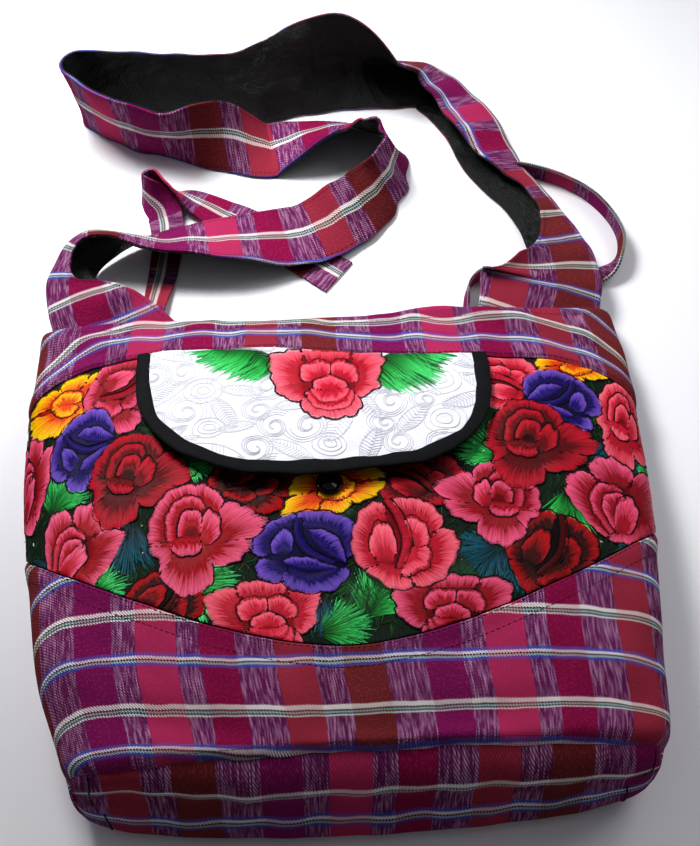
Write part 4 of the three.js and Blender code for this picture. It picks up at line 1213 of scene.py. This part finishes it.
def figureLines(kind, x, y, turn, size):
    look, middle = figureLook, np.array([x, y])
    if kind == "rings":
        angle = np.linspace(0, 2 * math.pi, look["ringSteps"])
        return [middle + size * k * asPoints(np.cos(angle), np.sin(angle)) for k in look["rings"]]
    if kind == "curl":
        angle = turn + np.linspace(0, 2 * math.pi * look["curlTurns"], look["curlSteps"])
        radius = size * (look["curlFrom"] - np.linspace(0, look["curlIn"], look["curlSteps"]))
        return [middle + wide * radius[:, None] * asPoints(np.cos(angle), np.sin(angle)) for wide in look["curls"]]
    ahead = size * look["leafLong"] * np.array([math.cos(turn), math.sin(turn)])
    aside = size * look["leafWide"] * np.array([-math.sin(turn), math.cos(turn)])
    t = np.linspace(-1, 1, look["leafSteps"])[:, None]
    lines = [middle + t * ahead + way * (1 - t * t) ** look["leafBend"] * aside for way in (1, -1)]
    for k in np.linspace(-look["ribReach"], look["ribReach"], look["ribs"]):
        half = (1 - k * k) ** look["leafBend"] * aside
        tip = middle + (k + look["ribSlant"]) * ahead
        lines += [np.array([middle + k * ahead, tip + way * half]) for way in (1, -1)]
    return lines


seamClear = 0.1


def flapInside(points, inset):
    x, y = points[..., 0], points[..., 1]
    half, depth = flapShape["half"] - inset, flapShape["depth"] - inset
    inside = (y < seamAt("upperSeam", x / body["seamReach"]) - seamClear) & (y > flapBottom(x, half, depth))
    return inside & (np.abs(x - flapShape["x"]) < half)


# counts how often a line to the right of a point crosses the edge of the leaf
def insideLeaf(leaf, points):
    edge = np.concatenate([throughPoints(leaf[0], 8), throughPoints(leaf[1], 12)[::-1]])
    x, y = points[..., 0, None], points[..., 1, None]
    start, end = edge, np.roll(edge, -1, axis=0)
    rise = np.where(end[:, 1] == start[:, 1], 1, end[:, 1] - start[:, 1])
    crossing = start[:, 0] + (y - start[:, 1]) / rise * (end[:, 0] - start[:, 0])
    crossed = ((start[:, 1] > y) != (end[:, 1] > y)) & (x < crossing)
    return crossed.sum(axis=-1) % 2 == 1


def figureShow(points):
    shown = flapInside(points, figureLook["inset"]) & ~insideFlower(flapRose, points, figureLook["under"])
    for leaf in flapLeaves:
        shown &= ~insideLeaf(leaf, points)
    return shown


look, step = figureLook, figureLook["step"]
count = 0
for row, y in enumerate(np.arange(flapShape["top"] - flapShape["depth"], flapShape["top"] + look["above"],
                                  step * look["rowStep"])):
    for x in np.arange(look["left"] + (row % 2) * step / 2, look["right"], step):
        kind = look["kinds"][count % len(look["kinds"])]
        count += 1
        spot = [at + rng.uniform(-stray, stray) for at, stray in zip((x, y), look["stray"])]
        for line in figureLines(kind, *spot, rng.uniform(0, 2 * math.pi), rng.uniform(*look["size"])):
            seen = figureShow(line[:-1]) & figureShow(line[1:])
            start, end = line[:-1][seen], line[1:][seen]
            past = (end - start) * look["over"]
            # grey of the figure threads: partly the floats' tint, partly painted shade of the relief
            shades = plainShades(look["shades"][count % len(look["shades"])], len(start))
            addStitches("figures", start - past, end + past, shades, look["thread"], look["raised"], 0.0)
flapFigures = joinStitches("flap_figures", "figures", onBrocade, 1)

# two leaves and the rose worked on the flap; every other row of leaf stitches is an upper layer
flapLeafLook = {
    "inset": 8.5, "many": (64, 50), "tips": (-0.24, 0.06), "spread": 0.22, "darkShare": 0.2, "dark": 0.25,
    "width": 0.95, "raised": (0.08, 0.2), "arch": 0.3, "over": 0.1,
}


def onFlap(x, y, raised):
    return onBrocade(x, y, raised + flapLeafLook["over"])


def onTape(x, y, raised):
    return onFront(x, y, flapRise(y) + tapeShape["sewRaised"] + raised)


def flapShow(points):
    return flapInside(points, flapLeafLook["inset"])


look = flapLeafLook
for k, (roots, tips) in enumerate(flapLeaves):
    many, raised = look["many"][k % 2], look["raised"][k % 2]
    start, end = throughPoints(roots, many), throughPoints(tips, many)
    end = end + (end - start) * rng.uniform(*look["tips"], many)[:, None]
    rows = shadeRows(flossColours["leaf"], many, look["spread"])
    rows = rows * np.where(rng.random(many) < look["darkShare"], look["dark"], 1.0)[:, None, None]
    addStitches("flap", *trim(start, end, rows, flapShow), look["width"], raised, look["arch"])
sewFlower("flap", flapRose, [], flapShow)
flapWork = joinStitches("flap_embroidery", "flap", onFlap, 3)
flapLines = joinStitches("flap_outlines", "flap lines", onFlap, 2)
tapeLine = asPoints(*tapeEdge(np.linspace(*tapeShape["sewRun"]), tapeShape["wide"] - tapeShape["sewIn"]))
sewRow("tape", tapeLine, **tapeShape["thread"])
tapeSewing = joinStitches("tape_stitching", "tape", onTape, 2)
print("flap ready")

# button: a disc with a raised rim and a shallow dome, grown from a circle
buttonShape = {
    "x": -3, "y": 173.6, "radius": 8.0, "foot": 0.82, "sides": 48, "raised": 1.3, "rounding": 2,
    # how far each step grows up, then how wide the new ring is against the last
    "steps": ((0.9, 1.21), (1.1, 1.01), (0.8, 0.95), (0.25, 0.93), (-0.35, 0.9), (-0.65, 0.86), (0.15, 0.78),
              (0.75, 0.62), (0.35, 0.5)),
}
look = buttonShape
bpy.ops.object.select_all(action="DESELECT")
bpy.ops.mesh.primitive_circle_add(vertices=look["sides"], radius=look["radius"] * look["foot"] * mm, fill_type="NGON")
button = bpy.context.object
button.name = button.data.name = "front_button"
bpy.ops.object.mode_set(mode="EDIT")
bpy.ops.mesh.select_mode(type="FACE")
bpy.ops.mesh.select_all(action="SELECT")
for rise, spread in look["steps"]:
    bpy.ops.mesh.extrude_region_move(TRANSFORM_OT_translate={"value": (0, 0, rise * mm)})
    bpy.ops.transform.resize(value=(spread, spread, 1))
bpy.ops.mesh.select_all(action="SELECT")
bpy.ops.mesh.normals_make_consistent(inside=False)
bpy.ops.object.mode_set(mode="OBJECT")
seat, above = (onFront(look["x"], look["y"], raised) for raised in (0.0, 1.0))
button.rotation_euler = Vector(above - seat).to_track_quat("Z", "Y").to_euler()
button.location = toRow(seat + (above - seat) * look["raised"])
bpy.ops.object.transform_apply(location=True, rotation=True, scale=True)
grow = button.modifiers.new("round", "SUBSURF")
grow.levels = grow.render_levels = look["rounding"]
bpy.ops.object.modifier_apply(modifier=grow.name)
bpy.ops.object.shade_smooth()
dress(button, [buttonFinish], ["button"])
print("button ready")

# strap and ties, a row for each station: place of the middle line, lift, lean of the far half, fold of the near half,
# widths of the near and the far half
strapRows = [
    (-174, 303, 3, 187, 164, 80, 50), (-184, 336, 2, 193, 156, 58, 62), (-188, 362, 0.4, 198, 146, 26, 60),
    (-180, 386, 0.4, 204, 136, 13, 52), (-166, 399, 0.4, 226, 108, 12, 38), (-142, 400, 4.5, 280, 46, 14, 26),
    (-110, 399, 4.5, 324, 6, 21, 25), (-68, 404, 4.5, 340, 0, 30, 27), (-18, 412, 4.5, 354, 0, 31, 25),
    (24, 428, 2.5, 390, 0, 28, 20), (49, 449, 0.4, 420, 0, 27, 18), (57, 474, 0.4, 428, 0, 27, 20),
    (44, 496, 0.4, 414, 0, 28, 24), (16, 503, 0.4, 396, 0, 27, 27), (-24, 500, 0.4, 374, 0, 26, 28),
    (-66, 494, 0.4, 308, 0, 25, 27), (-102, 489, 0.4, 264, 0, 26, 28), (-134, 498, 0.4, 260, 0, 28, 29),
    (-160, 514, 0.4, 263, 0, 30, 30), (-178, 531, 0.4, 265, 0, 30, 30), (-171, 545, 0.4, 263, 0, 30, 30),
    (-146, 542, 0.4, 257, 0, 29, 30), (-100, 537, 0.4, 253, 0, 29, 30), (-54, 539, 0.4, 250, 0, 26, 30),
    (-12, 548, 0.4, 243, 8, 38, 32), (24, 560, 0.4, 230, 38, 46, 35), (58, 571, 0.4, 204, 112, 44, 37),
    (90, 572, 0.4, 192, 140, 41, 39), (116, 553, 0.4, 186, 154, 41, 41), (136, 520, 0.4, 186, 156, 41, 42),
    (147, 480, 0.4, 190, 152, 33, 40), (162, 440, 0.4, 198, 144, 16, 32), (176, 403, 4, 202, 140, 26, 36),
    (187, 372, 4, 199, 146, 58, 48), (189, 340, 4, 193, 156, 84, 54), (179, 303, 3, 187, 164, 82, 52),
]
leftTieRows = [
    (-118, 336, 1.5, 150, 0, 8, 8), (-115, 360, 0.3, 166, 0, 9, 9), (-111, 386, 0.3, 180, 0, 10, 10),
    (-109, 414, 0.3, 180, 0, 11, 11), (-111, 437, 0.3, 156, 0, 13, 13), (-121, 447, 0.3, 112, 0, 14, 14),
    (-125, 454, 0.3, 97, 0, 14, 14), (-117, 458, 0.3, 92, 0, 14, 14), (-107, 452, 0.3, 110, 0, 14, 14),
    (-91, 448, 0.3, 160, 0, 13, 13), (-68, 435, 0.3, 180, 0, 14, 14), (-40, 417, 0.3, 180, 0, 15, 15),
    (-14, 396, 0.3, 180, 0, 15, 15), (12, 375, 0.3, 180, 0, 16, 16),
]
rightTieRows = [
    (95, 317, 2.4, 100, 0, 8, 8), (98, 338, 2.2, 100, 0, 8, 8), (102, 357, 0.3, 96, 0, 8, 8),
    (113, 368, 0.3, 104, 0, 8, 8), (124, 370, 0.3, 160, 0, 8, 8), (146, 365, 0.3, 180, 0, 8, 8),
    (172, 363, 0.3, 180, 0, 8, 8), (196, 366, 0.3, 160, 0, 8, 8), (209, 377, 0.3, 110, 0, 8, 8),
    (214, 394, 0.3, 94, 0, 8, 8), (210, 414, 0.3, 88, 0, 8, 8), (198, 435, 0.3, 84, 0, 8, 8),
    (180, 451, 0.3, 82, 0, 8, 8), (160, 461, 0.3, 82, 0, 8, 8), (147, 465, 0.3, 84, 0, 8, 8),
]
creaseWidth = 11.0


# strip of cloth settled on the floor: grids of places and outer normals, with the length and width they stand for
def layStrip(rows, perRow, split, depth, crumple):
    keyed = [(k, *row) for k, row in enumerate(rows)]
    last, step = len(rows) - 1, 1e-3
    stations = np.linspace(0, last, last * perRow + 1)
    x, y, lift, lean, fold, near, far = (along(keyed, k, stations) for k in range(1, 8))
    ahead, behind = np.minimum(stations + step, last), np.maximum(stations - step, 0)
    run = asPoints(*(along(keyed, k, ahead) - along(keyed, k, behind) for k in (1, 2)))
    run /= np.linalg.norm(run, axis=1, keepdims=True)
    left = asPoints(-run[:, 1], run[:, 0])
    length = runOf(np.hypot(np.diff(x), np.diff(y)))
    places = np.empty((len(stations), sum(split) + 1, 3))
    outers = np.empty_like(places)
    widths = np.empty(places.shape[:2])
    for k in range(len(stations)):
        # near half, crease and far half, each in even steps
        parts = (near[k] - creaseWidth / 2, creaseWidth, far[k] - creaseWidth / 2)
        spans = np.concatenate([[part / steps] * steps for part, steps in zip(parts, split)])
        at = runOf(spans) - near[k]

        def turn(w):
            return np.radians(lean[k] + fold[k] * (1 - smoothStep(-1, 1, w / (creaseWidth / 2))))

        middles = turn((at[1:] + at[:-1]) / 2)
        sideways, height = runOf(np.cos(middles) * spans), runOf(np.sin(middles) * spans)
        sideways -= np.interp(0, at, sideways)
        facing = turn(at)
        outX, outZ = -np.sin(facing), np.cos(facing)
        bulge = crumple(length[k], at)
        sideways, height = sideways + outX * bulge, height + outZ * bulge
        lowest = min(height.min(), (height - outZ * depth).min())
        height += lift[k] - lowest
        places[k] = asPoints(x[k] + left[k, 0] * sideways, y[k] + left[k, 1] * sideways, height)
        outers[k] = asPoints(left[k, 0] * outX, left[k, 1] * outX, outZ)
        widths[k] = at
    return {"places": places, "outers": outers, "length": length, "widths": widths}


# turns a laid strip into a sheet, its face a depth under the strip's outer face
def stripSheet(name, strip, depth, clothMap):
    count, wide = strip["widths"].shape

    def index(u, v):
        return np.rint(u * (count - 1)).astype(int), np.rint(v * (wide - 1)).astype(int)

    def place(u, v):
        i, j = index(u, v)
        return strip["places"][i, j] - strip["outers"][i, j] * depth

    def mapped(u, v):
        i, j = index(u, v)
        return clothMap(strip["length"][i], strip["widths"][i, j])
    return laySheet(name, count - 1, wide - 1, place, mapped)


# place on a strip's outer face, from mm along it and across it
def onStrip(strip):
    count = len(strip["length"])

    def place(s, w, raised):
        i = np.clip(np.interp(s, strip["length"], np.arange(count)), 0, count - justInside)
        i0 = i.astype(int)
        f = (i - i0)[..., None]

        # finds the place across by the widths of a station
        def at(k):
            widths = strip["widths"][k]
            j = np.sum(widths[..., 1:-1] <= w[..., None], axis=-1)
            low = np.take_along_axis(widths, j[..., None], -1)[..., 0]
            high = np.take_along_axis(widths, (j + 1)[..., None], -1)[..., 0]
            g = np.clip((w - low) / np.maximum(high - low, 1e-6), 0, 1)[..., None]
            p = strip["places"][k, j] * (1 - g) + strip["places"][k, j + 1] * g
            n = strip["outers"][k, j] * (1 - g) + strip["outers"][k, j + 1] * g
            return p + n * raised[..., None]
        return at(i0) * (1 - f) + at(i0 + 1) * f
    return place


strapLook = {
    "cloth": 1.4, "lining": 0.9, "between": 0.25, "perRow": 9, "split": (9, 6, 9), "mapV": 41, "mapShare": 0.84,
    # crumples as height, length along, length across, phase; the gathers are where the strap turns back
    "crumples": [(0.9, 13.0, 31, 0), (0.7, 7.3, -17, 1.2), (0.5, 4.6, 9, 0.4), (1.1, 23.0, 14, 2.0)],
    "gathers": (2.4, 3.5, 11, 0), "gatherAt": 350, "gatherReach": 55.0, "calm": 0.35, "calmReach": 30,
    "leftHorn": (108, 30), "rightHorn": (128, 100),  # length, and shift of the stripes
    "sewIn": 3, "sewFrom": 4,
}


def crumpled(wave, s, w):
    height, alongIt, acrossIt, phase = wave
    return height * np.sin(s / alongIt + w / acrossIt + phase)


# crumples of the strap, calmer in its middle
def strapCrumple(s, w):
    look = strapLook
    soft = sum(crumpled(wave, s, w) for wave in look["crumples"])
    gathered = np.exp(-((s - look["gatherAt"]) / look["gatherReach"]) ** 2)
    soft = soft + gathered * crumpled(look["gathers"], s, w)
    return soft * (look["calm"] + (1 - look["calm"]) * np.clip(np.abs(w) / look["calmReach"], 0, 1))


def shiftedMap(shift, s, w):
    return s + shift[0], w + shift[1]


def strapMap(s, w):
    return s, w * strapLook["mapShare"] + strapLook["mapV"]


look = strapLook
underCloth = look["cloth"] + look["between"]
strap = layStrip(strapRows, look["perRow"], look["split"], underCloth + look["lining"], strapCrumple)
strapLength = strap["length"][-1]
strapCloth = stripSheet("strap_cloth", strap, 0.0, strapMap)
# the horns are cut with the stripes across them
cloth = strapCloth.data.uv_layers["cloth"].data
for polygon in strapCloth.data.polygons:
    corners = list(polygon.loop_indices)
    s = sum(cloth[k].uv[0] for k in corners) / len(corners) / mm
    onLeft = s < strapLength / 2
    hornLength, shift = look["leftHorn"] if onLeft else look["rightHorn"]
    if (s if onLeft else strapLength - s) < hornLength:
        for k in corners:
            across, up = cloth[k].uv
            cloth[k].uv = (up + shift * mm, across if onLeft else -across)
finishSheet(strapCloth, [plaid], "strap", look["cloth"])
strapLining = stripSheet("strap_satin", strap, underCloth, partial(shiftedMap, (0, 0)))
finishSheet(strapLining, [lining], "strap_lining", look["lining"])
s = np.linspace(look["sewFrom"], strapLength - look["sewFrom"], 900)
for column, sewIn in ((0, look["sewIn"]), (-1, -look["sewIn"])):
    edge = np.interp(s, strap["length"], strap["widths"][:, column])
    sewRow("strap", asPoints(s, edge + sewIn))
strapSewing = joinStitches("strap_topstitching", "strap", onStrip(strap), 2)

tieCloth, tiePerRow = 1.6, 10
ties = [  # name, node, rows, steps across, crumple, shift of the pattern
    ("left_tie_cloth", "tie_left", leftTieRows, (4, 4, 4), (0.25, 8, 6, 0), (60, 41)),
    ("right_tie_cloth", "tie_right", rightTieRows, (3, 4, 3), (0.15, 7, 5, 0), (150, 30)),
]
for name, node, rows, split, wave, shift in ties:
    strip = layStrip(rows, tiePerRow, split, tieCloth, partial(crumpled, wave))
    tie = stripSheet(name, strip, 0.0, partial(shiftedMap, shift))
    finishSheet(tie, [plaid], node, tieCloth)
print("strap and ties ready")

# floor, lights and camera
bpy.ops.object.select_all(action="DESELECT")
bpy.ops.mesh.primitive_plane_add(size=8)
floor = bpy.context.object
floor.name = "studio_floor"
# white background paper: almost even, with a faint mottle
paper, add = newMaterial("white paper floor")
mottle = add("TexNoise", {"Vector": add("TexCoord", out="Object"), "Scale": 3.0, "Detail": 4.0})
add("OutputMaterial", {"Surface": add("BsdfPrincipled", {
    "Base Color": add("ValToRGB", {"Fac": mottle}, stops=[(0.3, rgba("#f1f1f6")), (0.7, rgba("#f7f7fa"))]),
    "Roughness": 0.7,
})})
floor.data.materials.append(paper)

# the sky is brighter behind the bag than in front of it
world = bpy.data.worlds.new("studio")
bpy.context.scene.world = world
world.use_nodes = True
sky = world.node_tree
outlook = addNode(sky, "TexCoord", out="Generated")
facing = addNode(sky, "VectorMath", {0: outlook, 1: (0.15, 0.6, 0.78)}, "Value", operation="DOT_PRODUCT")
glow = addNode(sky, "MapRange", {"Value": facing, "From Min": -0.4, "To Min": 0.01, "To Max": 0.3})
sky.nodes["Background"].inputs["Color"].default_value = (0.93, 0.95, 1.0, 1)
sky.links.new(glow, sky.nodes["Background"].inputs["Strength"])


# turn that points a lamp or the camera from one place to another
def aimed(spot, aim):
    return (Vector(aim) - Vector(spot)).to_track_quat("-Z", "Y").to_euler()


lamps = {  # place, what it looks at, size, watts, spread
    "key": ((-0.36, 0.46, 0.79), (-0.02, 0.14, 0.0), 0.32, 2.0, 80),
    "side": ((0.9, 0.5, 1.1), (0.35, 0.0, 0.0), 0.8, 2.2, 120),
    "front": ((-0.6, -1.0, 1.0), (0.0, -0.1, 0.03), 0.9, 0.035, 180),
}
for name, (spot, aim, size, watts, spread) in lamps.items():
    bpy.ops.object.light_add(type="AREA", location=spot, rotation=aimed(spot, aim))
    lamp = bpy.context.object
    lamp.name = name
    lamp.data.size = size
    lamp.data.energy = watts
    lamp.data.spread = math.radians(spread)

cameraLook = {"spot": (-22.9, -475.9, 720.0), "aim": (-1.0, -57.8, 50.0), "lens": 55.3, "sensor": 36}
spot, aim = cameraLook["spot"], cameraLook["aim"]
bpy.ops.object.camera_add(location=Vector(spot) * mm, rotation=aimed(spot, aim))
camera = bpy.context.object
camera.data.lens = cameraLook["lens"]
camera.data.sensor_width = cameraLook["sensor"]
bpy.context.scene.camera = camera
bpy.context.scene.view_settings.view_transform = "Standard"
bpy.context.scene.view_settings.look = "Medium High Contrast"
print("stage ready")
